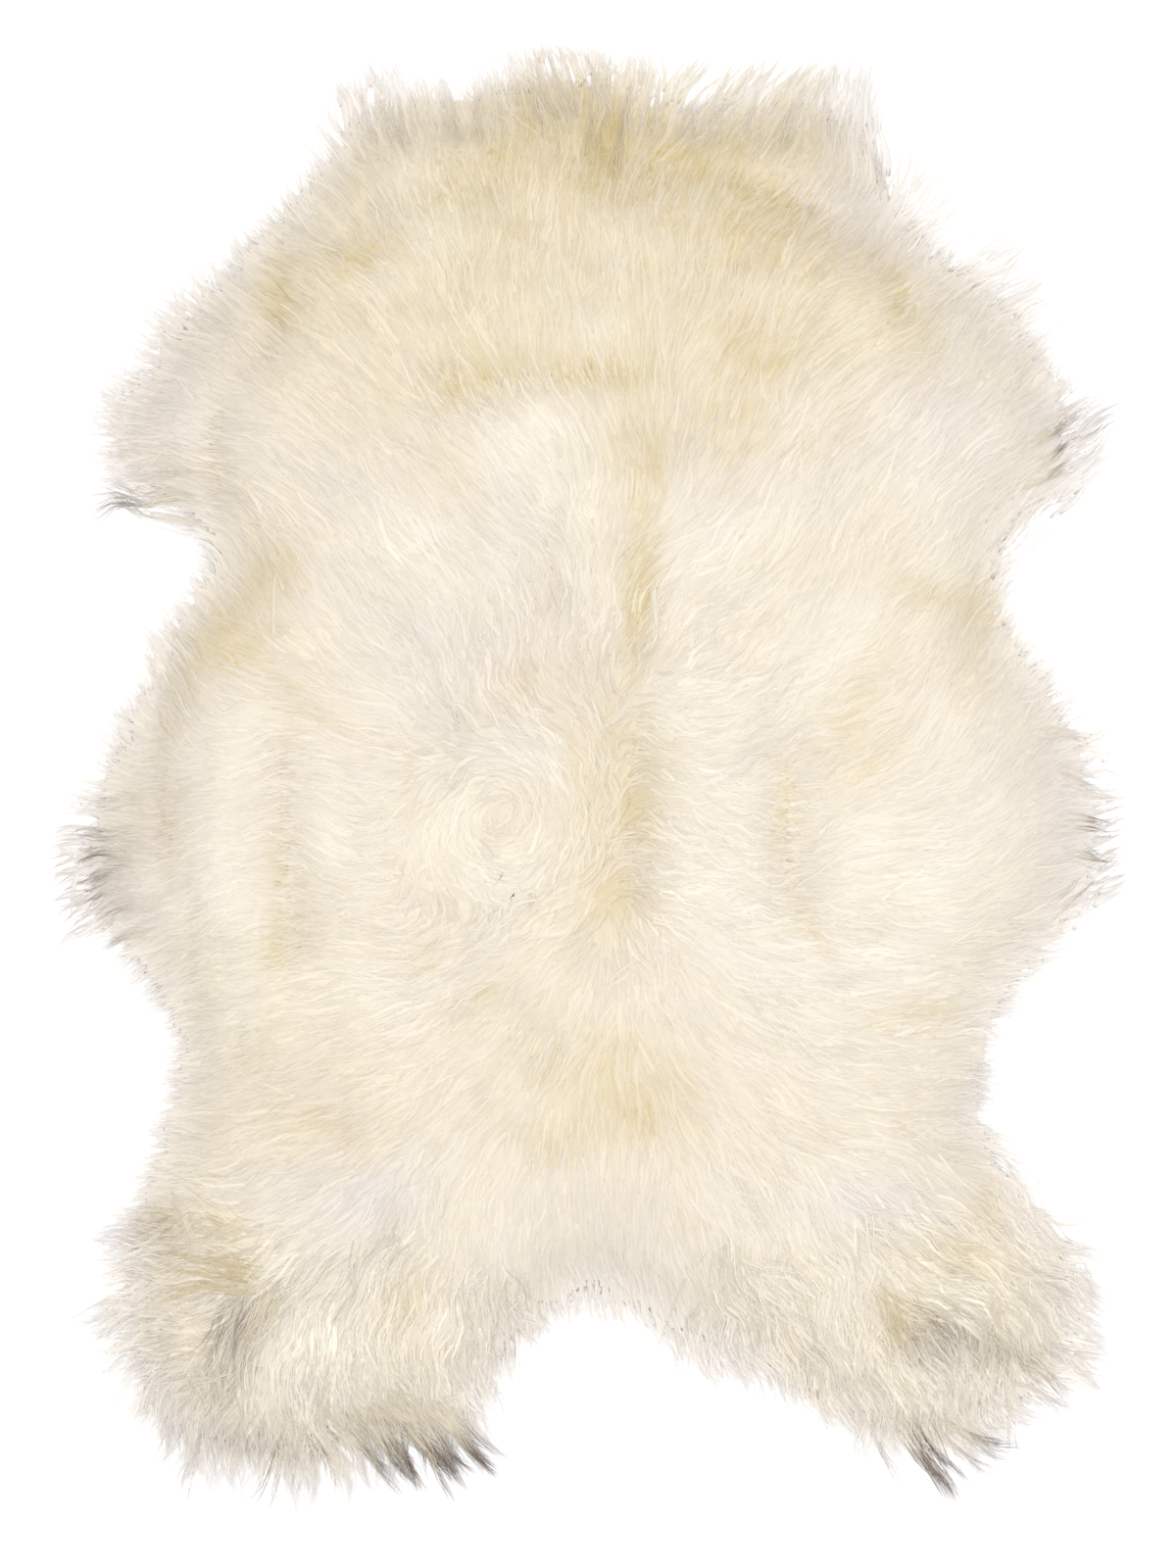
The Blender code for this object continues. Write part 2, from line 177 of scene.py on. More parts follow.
TUFT_SWINGS = (0.7, 1.2)
TUFT_SWING_GROWTH = 2.5
TUFT_TONE_SPREAD = 0.3
TUFT_TONE_MOST = 1.5
TUFT_YELLOWS = (0.6, 1.1)
TUFT_DARK_SPREAD = 0.10
TUFT_DARK_OVER = 0.3
TUFT_DARKS = (0.7, 1.0)
# painted highlight, a little paler over every hair of the tufts
TUFT_HIGHLIGHT = 0.3
TUFT_HAIR = Kind(0, 8, 0.50, 0.28, 0.40, 0.2, 2.2, 0.10, 0.0, 0.0, 0.0, 0.0, 0.0, 0.0, 0.8)
EDGE_ANGLE = 105.0  # degrees; a strand is round over its ridge and meets its underside in a sharp edge

# ---- The areas of the wool --------------------
# A lock belongs to the area whose middle is nearest. Lengths in millimetres; wave is the sideways swing of a strand
# and wave_length its run; gather is how far the strands of a lock close up at its tip; curl turns a lock, in degrees;
# loft is how freely its strands stand over each other, against the smoothest wool; wisps and fibres are how many of
# them a lock has.
Area = namedtuple("Area", "name x y length wave wave_length gather curl loft wisps fibres")
AREAS = rows_of(
    Area,
    ("neck", 0, 520, 84, 1.8, 50, 0.60, 10, 1.3, 2.4, 4.4),
    ("left_shoulder", -215, 360, 84, 1.8, 50, 0.50, 10, 1.2, 2.2, 3.5),
    ("right_shoulder", 225, 375, 84, 1.8, 50, 0.50, 10, 1.2, 2.2, 3.5),
    ("withers", 0, 270, 80, 1.4, 54, 0.45, 8, 0.85, 2.2, 3),
    ("left_flank", -275, 35, 84, 2.2, 44, 0.50, 12, 0.75, 2.2, 3),
    ("right_flank", 285, 40, 84, 2.2, 44, 0.50, 12, 0.75, 2.2, 3),
    ("saddle", 10, 10, 56, 2.4, 34, 0.50, 26, 1.6, 2.6, 4.2),
    ("loin", 0, -235, 78, 1.8, 48, 0.50, 10, 0.7, 2.2, 3),
    ("left_thigh", -240, -225, 82, 2.0, 46, 0.55, 12, 1.3, 2.2, 4),
    ("right_thigh", 240, -225, 82, 2.0, 46, 0.55, 12, 1.3, 2.2, 4),
    ("left_hind_leg", -240, -470, 112, 4.2, 60, 0.90, 7, 3.6, 2.0, 8),
    ("right_hind_leg", 265, -450, 108, 4.2, 60, 0.90, 8, 3.6, 2.0, 8),
)

# ---- The lie of the wool --------------------
# It grows away from the line of the spine, but over most of the rug it is brushed: at x, y, in millimetres,
# it points along angle, in degrees from +X.
SPINE = np.array([[-9.0, 40.0], [23.0, -137.0]]) * MM
BRUSHED = {
    "neck": [
        (-185, 550, 115), (-120, 565, 97), (-50, 585, 105), (0, 600, 108), (-225, 510, 120), (-265, 485, 120),
        (-160, 485, 125), (-120, 465, 105), (15, 525, 75), (-10, 565, 98), (65, 550, 57), (110, 545, 55),
        (80, 515, 40), (150, 550, 60), (190, 570, 75), (200, 525, 78), (225, 535, 102), (160, 505, 55),
        (175, 470, 27), (240, 465, 45), (125, 465, 60), (40, 445, 95), (80, 445, 86), (-35, 500, 95),
    ],
    "left_shoulder": [
        (-215, 440, 150), (-255, 400, 150), (-320, 385, 130), (-335, 325, 160), (-360, 305, 170), (-375, 265, 175),
        (-395, 225, 185), (-265, 325, 160), (-295, 265, 175), (-190, 365, 132), (-160, 395, 137), (-120, 375, 110),
        (-75, 405, 82), (-35, 385, 80), (-240, 265, 150), (-240, 215, 130), (-200, 285, 140), (-200, 230, 122),
        (-160, 265, 130), (-95, 310, 130), (-120, 245, 125),
    ],
    "right_shoulder": [
        (265, 440, 55), (305, 435, 27), (335, 405, 38), (365, 365, 35), (395, 325, 30), (400, 295, 50),
        (385, 265, 55), (365, 230, 45), (120, 370, 55), (80, 325, 66), (80, 400, 88), (200, 365, 38),
        (240, 350, 22), (185, 325, 45), (160, 285, 65), (120, 285, 75), (120, 230, 50), (200, 265, 65),
        (240, 265, 50), (200, 215, 65), (280, 285, 35), (300, 365, 85), (320, 325, 60), (320, 295, 32),
        (320, 245, 35), (280, 230, 45),
    ],
    "parting": [
        (0, 405, 95), (35, 305, 125), (25, 265, 100), (-65, 280, 140), (-80, 225, 153), (-50, 200, 172),
        (-25, 165, 95), (80, 205, 40), (70, 165, 25), (115, 200, 38), (30, 165, 80), (-10, 240, 80),
        (10, 110, 95), (40, 120, 60),
    ],
    "left_flank": [
        (-310, 125, 120), (-360, 105, 118), (-345, 55, 105), (-380, 45, 140), (-395, -10, 184), (-410, -45, 185),
        (-415, -80, 205), (-395, -120, 218), (-360, -145, 222), (-275, 165, 125), (-210, 165, 138),
        (-175, 135, 135), (-145, 95, 130), (-115, 60, 122), (-135, 165, 120), (-115, 120, 97), (-80, 75, 45),
        (-280, 95, 165), (-215, 85, 155), (-175, 55, 150), (-305, 15, 197), (-320, 85, 125), (-295, -15, 190),
        (-200, -35, 157), (-175, 20, 168), (-360, -35, 182), (-295, -75, 182), (-195, -90, 173),
        (-345, -90, 195), (-295, -135, 190), (-200, -155, 178), (-95, -120, 203), (-120, -175, 207),
        (-50, -105, 197), (-50, -175, 218), (-280, -200, 195), (-200, -215, 195), (-245, 40, 180),
    ],
    "whorl": [
        (-15, 5, 95), (-35, 50, 150), (-75, 45, 185), (-115, 20, 215), (-135, -20, 265), (-120, -60, 308),
        (-80, -75, 345), (-35, -60, 35), (-15, -30, 75),
    ],
    "right_flank": [
        (135, 120, 40), (185, 135, 50), (225, 175, 60), (265, 165, 40), (325, 150, 55), (225, 120, 52),
        (305, 110, 55), (305, 65, 80), (355, 105, 40), (400, 55, 8), (360, 15, 50), (410, 5, -5), (415, -40, 5),
        (405, -75, 35), (365, -75, 27), (325, -90, 22), (105, 85, 8), (105, 45, 22), (70, 55, -45),
        (95, 0, -35), (145, -15, -10), (105, -50, -12), (110, -75, 0), (200, -15, 32), (200, -60, 14),
        (220, 70, 33), (225, 35, 25), (270, -10, 8), (295, -73, 3), (200, -100, -20), (120, -115, -15),
        (265, -120, -5), (80, -160, -45), (125, -160, -20), (205, -160, -12), (285, -160, 5), (335, -135, 2),
        (150, 60, 30),
    ],
    "loin": [
        (40, -155, -75), (5, -155, 255), (30, -200, 284), (80, -200, 302), (-25, -215, 245), (30, -255, 275),
        (110, -250, 323), (150, -230, 340), (165, -275, 325), (-25, -275, 262), (-80, -235, 228),
        (-160, -240, 208), (-10, -335, 278), (30, -345, 272), (15, -400, 280), (80, -355, 275), (70, -425, 292),
        (105, -465, 275), (-75, -385, 268), (-40, -425, 298), (-115, -315, 240), (-160, -295, 224),
    ],
    "left_thigh": [
        (-240, -255, 196), (-320, -255, 178), (-355, -295, 180), (-240, -315, 218), (-295, -310, 192),
        (-175, -355, 226), (-135, -385, 252), (-210, -395, 232), (-315, -380, 172), (-315, -350, 185),
        (-360, -410, 180), (-350, -440, 198), (-265, -430, 238), (-295, -475, 256), (-360, -490, 232),
        (-320, -505, 280), (-315, -560, 268), (-275, -555, 265), (-240, -555, 262), (-250, -455, 264),
        (-210, -455, 285), (-180, -505, 300), (-160, -450, 285), (-130, -505, 302), (-130, -545, 310),
        (-110, -455, 275),
    ],
    "right_thigh": [
        (240, -215, 10), (205, -255, 350), (245, -275, 345), (310, -225, 355), (140, -345, 293),
        (175, -345, 302), (215, -345, 315), (245, -315, 338), (270, -345, 318), (310, -280, 345),
        (325, -345, 292), (325, -380, 345), (285, -395, 5), (375, -370, 330), (395, -415, 315),
        (390, -475, 345), (345, -435, 285), (325, -475, 250), (205, -410, 276), (225, -475, 272),
        (185, -435, 296), (160, -475, 308), (200, -515, 300), (240, -515, 285), (280, -545, 305),
        (320, -535, 322), (360, -495, 338), (125, -400, 292),
    ],
}
BRUSH_REACH = 0.95  # of a stroke, against the distance to its second neighbour
BRUSH_LEAST = 20.0 * MM
BRUSH_MOST = 55.0 * MM
OUTWARD = 0.04  # weight of the lie away from the spine, against a stroke's at its middle
WANDER_SIZE = 60.0 * MM  # of the waves that run through neighbouring locks
WANDER = math.radians(22.0)
AREA_WOBBLE = 40.0 * MM  # of the border between two areas

# ---- Tufts --------------------
# Locks that stand out from the rest: the root, the heading, the length, how far the tuft bends on its way, its hairs,
# the half width over its root, its waves, how yellow it is, and, where it is dark, how dark it gets and the share of
# its length from where on it is dark. Millimetres and degrees.
Tuft = namedtuple("Tuft", "x y angle length bend hairs half wave yellow dark dark_from", defaults=(0.0, 1.0))
TUFTS = rows_of(
    Tuft,
    # left hind leg: dark points, then thin wisps and the long yellow locks
    (-193, -511, 300, 78, 10, 24, 10, 1.6, 0.2, 1.0, 0.4), (-175, -502, 305, 84, -4, 32, 9, 1.4, 0.2, 1.0, 0.4),
    (-161, -499, 307, 90, 8, 36, 9, 1.4, 0.2, 1.0, 0.42), (-146, -500, 306, 92, -6, 36, 9, 1.4, 0.2, 1.0, 0.4),
    (-131, -503, 312, 86, 8, 32, 9, 1.4, 0.2, 1.0, 0.4), (-117, -505, 312, 70, 4, 18, 8, 1.2, 0.2, 0.9, 0.4),
    (-152, -485, 300, 84, 10, 12, 12, 1.4, 0.1, 0.7, 0.55), (-321, -505, 272, 92, -6, 4, 3, 2.2, 0.0, 0.5, 0.55),
    (-297, -513, 252, 70, 8, 3, 3, 1.6, 0.0, 0.4, 0.5), (-285, -508, 266, 68, -8, 7, 5, 1.8, 0.1, 0.2, 0.6),
    (-271, -508, 275, 66, 6, 6, 5, 1.8, 0.0, 0.4, 0.5), (-249, -504, 267, 90, -20, 9, 5, 1.6, 0.1, 0.9, 0.45),
    (-241, -508, 270, 76, 5, 6, 4, 1.6, 0.0, 0.8, 0.45), (-237, -510, 327, 75, -60, 4, 2, 1.0, 0.0, 0.8, 0.3),
    (-261, -508, 270, 58, 0, 6, 5, 1.8, 0.1, 0.2, 0.6), (-341, -500, 260, 54, 6, 6, 5, 1.6, 0.0, 0.2, 0.5),
    (-309, -508, 270, 50, -4, 6, 5, 1.6, 0.0, 0.2, 0.5), (-225, -505, 282, 60, 10, 8, 6, 1.6, 0.1, 0.3, 0.6),
    (-205, -500, 296, 60, 6, 9, 7, 1.4, 0.1, 0.5, 0.6), (-272, -384, 168, 98, 14, 22, 8, 2.0, 0.7),
    (-280, -398, 172, 84, 20, 18, 8, 2.0, 0.6), (-300, -470, 190, 52, 12, 10, 4, 1.6, 0.0),
    (-335, -336, 308, 58, -20, 12, 5, 1.6, 0.1), (-262, -398, 232, 74, 20, 10, 8, 2.0, 0.4),
    (-252, -404, 244, 84, 12, 10, 8, 2.0, 0.3), (-296, -415, 248, 60, -10, 5, 8, 1.6, 0.0, 0.6, 0.1),
    (-282, -412, 252, 66, 6, 5, 8, 1.6, 0.0, 0.6, 0.1),
    # right hind leg
    (259, -514, 302, 80, 10, 26, 8, 1.4, 0.1, 1.0, 0.22), (266, -508, 298, 88, 4, 12, 8, 1.4, 0.1, 0.9, 0.35),
    (283, -514, 318, 76, 14, 14, 7, 2.0, 0.1, 0.9, 0.35), (304, -520, 336, 50, 10, 7, 5, 1.2, 0.0, 0.9, 0.4),
    (222, -505, 301, 76, -8, 5, 3, 1.2, 0.0, 0.8, 0.45), (341, -500, 279, 46, 6, 4, 3, 1.4, 0.0, 0.5, 0.5),
    (362, -469, 350, 54, -50, 10, 5, 1.6, 0.1, 0.7, 0.45), (354, -487, 344, 52, -20, 8, 5, 1.6, 0.1, 0.5, 0.5),
    (243, -405, 300, 60, -30, 12, 9, 2.0, 0.5, 0.1, 0.7), (262, -408, 318, 62, -10, 12, 6, 1.8, 0.5, 0.6, 0.3),
    (285, -418, 335, 66, -14, 10, 14, 1.6, 0.0, 0.3, 0.1), (318, -436, 330, 50, -14, 9, 14, 1.6, 0.0, 0.3, 0.1),
    (326, -405, 300, 82, -75, 14, 6, 1.4, 0.2, 0.1, 0.7),
    # fore legs
    (-322, 240, 176, 112, 12, 20, 5, 4.0, 0.0, 0.8, 0.4), (-326, 217, 184, 86, -50, 10, 6, 3.0, 0.0, 0.6, 0.45),
    (-330, 262, 172, 66, 30, 8, 7, 3.0, 0.0, 0.1, 0.6), (362, 285, 30, 62, 10, 10, 7, 1.6, 0.0, 0.8, 0.4),
    (368, 269, 33, 48, 8, 8, 6, 1.4, 0.0, 0.8, 0.4), (362, 254, 18, 36, 6, 7, 5, 1.4, 0.0, 0.6, 0.4),
    # belly
    (-377, -33, 176, 52, 12, 10, 7, 2.6, 0.0, 0.6, 0.35), (-379, -49, 192, 50, -10, 9, 7, 2.6, 0.0, 0.7, 0.35),
    (-381, -65, 184, 48, 10, 9, 7, 2.6, 0.0, 0.7, 0.35), (-384, -77, 209, 46, -12, 9, 7, 2.6, 0.0, 0.7, 0.4),
    (-372, -89, 197, 46, 10, 8, 7, 2.2, 0.0, 0.5, 0.4), (-365, -109, 200, 42, 12, 8, 7, 2.2, 0.0, 0.4, 0.4),
    (-372, -5, 189, 56, -10, 8, 7, 2.6, 0.0, 0.2, 0.4), (376, 51, 352, 50, 10, 8, 7, 1.6, 0.0, 0.2, 0.5),
    (386, 15, 338, 44, 8, 8, 7, 1.6, 0.0, 0.3, 0.5), (394, -25, 350, 34, 6, 7, 6, 1.4, 0.0, 0.7, 0.3),
    (400, -49, 340, 32, 6, 7, 6, 1.4, 0.0, 0.6, 0.3), (385, -89, 38, 38, 10, 7, 6, 1.4, 0.0, 0.4, 0.4),
    # neck
    (22, 505, 84, 70, 8, 12, 9, 1.6, 0.7, 0.12, 0.3), (8, 512, 88, 64, -6, 10, 9, 1.6, 0.6, 0.1, 0.4),
    (-173, 535, 110, 50, 4, 8, 9, 1.2, 0.2), (-161, 528, 106, 50, 6, 7, 8, 1.2, 0.2),
    (-152, 524, 102, 50, -4, 7, 8, 1.2, 0.3), (-110, 531, 98, 50, 4, 8, 9, 1.2, 0.3),
    (-88, 534, 100, 50, -4, 8, 9, 1.2, 0.3), (-37, 553, 104, 50, 6, 10, 10, 1.2, 0.3, 0.1, 0.5),
    (-18, 554, 103, 50, 4, 10, 10, 1.2, 0.4, 0.1, 0.5), (12, 565, 104, 48, 4, 11, 9, 1.2, 0.4, 0.1, 0.5),
    (37, 541, 92, 50, 4, 8, 9, 1.2, 0.4), (50, 541, 82, 50, 6, 7, 8, 1.2, 0.4),
    (76, 529, 68, 52, 6, 10, 10, 1.2, 0.5), (96, 532, 66, 52, 8, 10, 10, 1.2, 0.5),
    (128, 535, 68, 52, 8, 10, 10, 1.2, 0.4), (150, 530, 70, 52, 8, 9, 10, 1.2, 0.4),
    (168, 533, 72, 52, 8, 9, 10, 1.2, 0.3), (189, 544, 78, 52, 6, 10, 9, 1.2, 0.3),
    (206, 526, 84, 54, 4, 9, 9, 1.2, 0.2), (234, 495, 96, 54, 4, 8, 9, 1.2, 0.2),
)

# ---- Creases --------------------
# Where the wool parts or folds: points along the crease, its depth and how wide it is to each side, in millimetres.
Crease = namedtuple("Crease", "points depth half")
CREASES = rows_of(
    Crease,
    ([(-31, 287), (-27, 247), (-33, 199), (-37, 151)], 3.0, 8),  # the parting of the withers
    ([(39, 215), (43, 167), (37, 103)], 2.5, 9),
    ([(-111, 62), (-108, 40), (-114, 14)], 4.5, 8),  # the pinch over the whorl
    ([(-140, 62), (-111, 52), (-84, 58)], 3.0, 8),
    ([(-123, -93), (-85, -98), (-49, -91)], 3.5, 7),  # under the whorl
    ([(-249, 23), (-244, -45), (-252, -113)], 1.1, 13),
    ([(-321, -57), (-318, -105), (-322, -153)], 2.5, 8),
    ([(-281, -182), (-283, -212)], 3.0, 8),
    ([(155, 42), (166, -17), (157, -72)], 1.5, 12),
    ([(-303, 297), (-300, 262), (-304, 229)], 2.6, 11),
    ([(-252, 450), (-255, 405), (-251, 362)], 2.4, 12),
    ([(115, 500), (165, 479), (207, 456), (240, 428), (250, 390)], 3.0, 11),
    ([(-345, 135), (-350, 50), (-342, -40)], 2.5, 9),
    ([(-290, -398), (-300, -430), (-319, -473)], 4.0, 11),  # the hollows of the hind legs
    ([(268, -428), (310, -446), (357, -466)], 4.0, 11),
    ([(-150, 345), (-95, 330), (0, 338), (60, 335)], 1.4, 10),
    ([(31, 90), (34, 10), (24, -75)], 1.5, 24),
)
SWELLS = ((48.0, 2.2), (20.0, 0.8))  # sizes and heights of gentle waves over all the wool

# ---- Colour of the wool --------------------
# Soft patches: the middle, the half length, the half width, how strong the colour is, and the turn of the long side
# from +X in degrees where there is one.
Patch = namedtuple("Patch", "x y long wide amount turn", defaults=(0,))
# Yellowed wool, and painted shade: the long narrow patches along the creases paint the warm yellow shade that lies in
# them.
YELLOWED_AND_CREASE_SHADE = rows_of(
    Patch,
    # broad, over the neck, the shoulders and the loin
    (15, 555, 240, 60, 0.56), (20, 470, 250, 75, 0.33), (10, 370, 210, 60, 0.26), (-200, 330, 110, 70, 0.15, 20),
    (240, 330, 90, 60, 0.09, -20), (25, -240, 110, 80, 0.15), (20, -20, 50, 130, 0.15),
    (-230, -260, 90, 50, 0.13, -10), (-250, -440, 110, 80, 0.08), (270, -430, 110, 80, 0.08),
    # neck and collar
    (119, 563, 95, 22, 0.4, -4), (-15, 578, 40, 16, 0.4), (180, 435, 70, 26, 0.35, -25), (119, 308, 46, 22, 0.4, 80),
    (70, 300, 60, 26, 0.22), (-281, 120, 44, 20, 0.4, 20), (319, 167, 24, 20, 0.2, 60), (303, 85, 20, 44, 0.2),
    (207, 23, 20, 40, 0.15), (319, -297, 14, 16, 0.3), (-361, -350, 26, 16, 0.45), (-80, 110, 80, 70, 0.12),
    (18, 545, 54, 15, 0.72, 82), (-20, 565, 34, 16, 0.49, 10), (-175, 550, 30, 14, 0.28, 60),
    (-253, 405, 42, 9, 0.5, 88), (-190, 432, 38, 12, 0.48, 14), (-113, 486, 26, 12, 0.26, 12),
    (80, 515, 34, 13, 0.42, -25), (150, 480, 34, 12, 0.49, -25), (195, 455, 46, 15, 0.52, -22),
    (240, 420, 30, 12, 0.56, -60), (250, 400, 42, 8, 0.42, 85), (135, 368, 34, 22, 0.35, -10),
    (272, 352, 26, 9, 0.31, 90), (-105, 330, 36, 14, 0.42, 10), (0, 342, 44, 11, 0.49, -8),
    (42, 252, 26, 9, 0.35, 60), (-305, 268, 32, 9, 0.3, 82), (-345, 312, 14, 9, 0.28, 90),
    # back and flanks
    (39, 150, 48, 10, 0.7, 86), (31, 55, 34, 24, 0.36, 90), (38, -15, 26, 20, 0.48, 90), (20, -85, 30, 22, 0.42, 90),
    (-62, 88, 18, 9, 0.63, 30), (-12, 40, 40, 8, 0.31, 95), (-260, 178, 28, 18, 0.48, 30),
    (-300, 135, 30, 18, 0.53, 50), (-345, 55, 70, 9, 0.35, 78), (-335, -20, 28, 10, 0.36, 84),
    (-249, -45, 66, 8, 0.3, 88), (-253, -128, 22, 10, 0.36, 80), (-262, -196, 36, 9, 0.25, 60),
    (-225, 75, 60, 10, 0.25, -32), (158, -10, 48, 8, 0.45, 90), (178, -105, 24, 8, 0.34, 120),
    (215, 75, 50, 16, 0.28, 70), (232, 35, 36, 14, 0.28, 60), (285, 158, 44, 14, 0.36, -14),
    (325, 145, 26, 13, 0.42, 60), (262, -178, 40, 11, 0.39, 2), (-130, -135, 16, 8, 0.36, 30),
    (-92, -165, 18, 7, 0.36, 35),
    # loin and hind legs
    (22, -232, 48, 26, 0.38), (0, -275, 66, 22, 0.32, 12), (60, -258, 34, 26, 0.15), (-205, -268, 40, 13, 0.31, -20),
    (-300, -350, 44, 14, 0.34), (-290, -376, 52, 10, 0.16, -4), (-345, -430, 26, 20, 0.15, 60),
    (-305, -480, 40, 18, 0.15, -50), (-150, -410, 26, 18, 0.28, 60), (330, -328, 34, 14, 0.34, 70),
    (300, -375, 44, 12, 0.36, -8), (255, -425, 22, 20, 0.45), (185, -490, 44, 12, 0.36, -50),
    (370, -470, 24, 10, 0.42, -12),
    # round the collar, on the shoulders and the withers
    (120, 445, 50, 20, 0.3, -20), (47, 235, 60, 14, 0.36, 88), (30, 275, 50, 24, 0.18), (190, 279, 60, 14, 0.22),
    (143, 343, 30, 16, 0.25), (-253, 400, 30, 18, 0.12, 88), (-117, 255, 30, 24, 0.2), (-249, 167, 24, 16, 0.28, 20),
    (-35, 100, 50, 24, 0.18), (-321, 355, 66, 34, 0.15, 60), (-325, 90, 70, 12, 0.36, 75),
    (-365, -50, 60, 26, 0.18, 80), (-20, 340, 60, 14, 0.2, -5), (50, 170, 40, 16, 0.16, 20),
    # small places on the back, the flanks and the legs
    (-53, 75, 24, 20, 0.25), (23, -205, 26, 20, 0.2), (-337, -41, 50, 12, 0.25, 90), (-333, 87, 50, 12, 0.2, 75),
    (-249, 399, 30, 20, 0.2), (-33, -433, 24, 20, 0.2), (-201, -321, 30, 14, 0.2), (79, 543, 40, 18, 0.25),
    (215, 431, 30, 20, 0.2),
    # less yellow again
    (-140, 515, 40, 50, -0.25), (-1, 375, 22, 26, -0.3), (-25, 263, 22, 40, -0.3), (280, 245, 60, 26, -0.3, -20),
    (-361, 312, 24, 30, -0.3), (85, 63, 50, 24, -0.15), (343, -97, 46, 30, -0.6, 30), (290, 255, 70, 34, -0.3, -20),
    (-355, 320, 30, 40, -0.4), (-361, 50, 20, 60, -0.4, -10), (65, 272, 40, 24, 0.2), (263, 335, 30, 24, 0.2),
    (-301, -263, 26, 34, -0.22), (-65, -300, 40, 20, -0.22), (167, -317, 50, 20, -0.18), (-220, -530, 56, 32, -0.8),
    (-233, -449, 50, 26, -0.3), (295, -473, 20, 24, -0.3),
)
# Where the wool itself ends early and only tufts go on.
THINNED = rows_of(
    Patch,
    (-142, -550, 72, 38, 0.97, -26), (-289, -570, 84, 46, 0.92), (275, -566, 66, 36, 0.95, -30),
    (360, -545, 50, 24, 0.8, 25), (-392, 232, 46, 36, 0.8), (405, 300, 26, 24, 0.6, 30), (-414, -70, 22, 46, 0.15),
    (424, -40, 18, 60, 0.15),
)
# Where it reaches further than the solid.
GROWN = rows_of(
    Patch,
    (115, 588, 110, 18, 0.45), (-190, 572, 40, 18, 0.45, 35), (-25, 600, 50, 14, 0.4), (200, 580, 30, 20, 0.25),
    (272, 505, 50, 20, 0.4, -55), (352, 430, 50, 20, 0.4, -50), (407, 295, 30, 30, 0.4), (384, 232, 40, 18, 0.3, 60),
    (430, -20, 100, 20, 0.35, 90), (-426, -65, 70, 20, 0.4, 90), (-391, -420, 70, 20, 0.3, 90),
    (-347, 392, 40, 20, 0.3, 55), (25, -418, 60, 16, 0.4), (100, -463, 40, 16, 0.4, -25),
    (403, -440, 60, 20, 0.35, 90),
)
# Where the undercoat lies deeper below the locks.
LOOSE = rows_of(
    Patch,
    (-245, -440, 110, 80, 1.0), (275, -430, 110, 80, 1.0), (30, 0, 40, 110, 0.3),
)
# Greyer places of the wool, and painted shade: greyish mauve in the hollows and along the rim.
GREYED_AND_SHADED = rows_of(
    Patch,
    (-330, -20, 80, 40, 0.35, 90), (-80, 110, 80, 70, 0.4), (79, 263, 30, 40, 0.3), (-220, 170, 60, 30, 0.1),
    (-385, -77, 52, 38, 0.6, 90), (400, -17, 90, 30, 0.7, 90), (316, -260, 34, 14, 0.6, 90),
    (-397, 255, 26, 14, 0.5), (-360, 240, 60, 24, 0.45), (380, 300, 60, 40, 0.5, 30), (345, 10, 70, 36, 0.35, 90),
    (-205, 250, 50, 26, 0.25, -30), (-150, 110, 60, 40, 0.3, -50), (-70, 35, 60, 22, 0.3, 10),
    (-55, 200, 44, 24, 0.25, 80), (120, 40, 60, 30, 0.2, 60), (180, -150, 90, 30, 0.16, -10),
    (-180, -330, 70, 30, 0.45, 40), (0, -390, 130, 40, 0.25), (-330, -520, 60, 24, 0.35, -60),
    (-321, 355, 66, 34, 0.4, 60), (-340, 90, 90, 30, 0.25, 80), (-190, -322, 60, 16, 0.35),
    (231, -330, 60, 20, 0.75), (280, 320, 50, 40, 0.5), (-65, 71, 30, 20, 0.12), (345, -92, 44, 30, 0.25, 30),
    (310, 247, 70, 30, 0.4, -20), (215, 460, 60, 36, 0.55, -30), (-289, -545, 90, 30, 0.25),
    (-190, -330, 60, 20, 0.45), (-310, 300, 50, 40, 0.4),
)
DARK_HAIRS = rows_of(
    Patch,
    (-285, -436, 44, 17, 0.95, 66), (-262, -418, 26, 10, 0.6, 60), (-292, -474, 30, 12, 0.6, 75),
    (287, -446, 34, 20, 1.0, -16), (338, -456, 30, 16, 0.6, -26), (-355, -350, 18, 10, 0.4, 10),
    (-330, 412, 26, 12, 0.12, 40), (-385, -55, 34, 14, 0.5, 40), (400, 310, 26, 16, 0.2, 30),
    (312, -240, 20, 9, 0.35, 60), (-182, -450, 16, 8, 0.25, 80), (182, -450, 18, 9, 0.25, 80),
)
DARK_TIPS = rows_of(
    Patch,
    (-125, -545, 62, 24, 0.9, -28), (-425, -77, 42, 14, 0.35, 90), (423, -57, 52, 10, 0.35, 90),
    (416, 302, 18, 12, 0.45, 30),
)
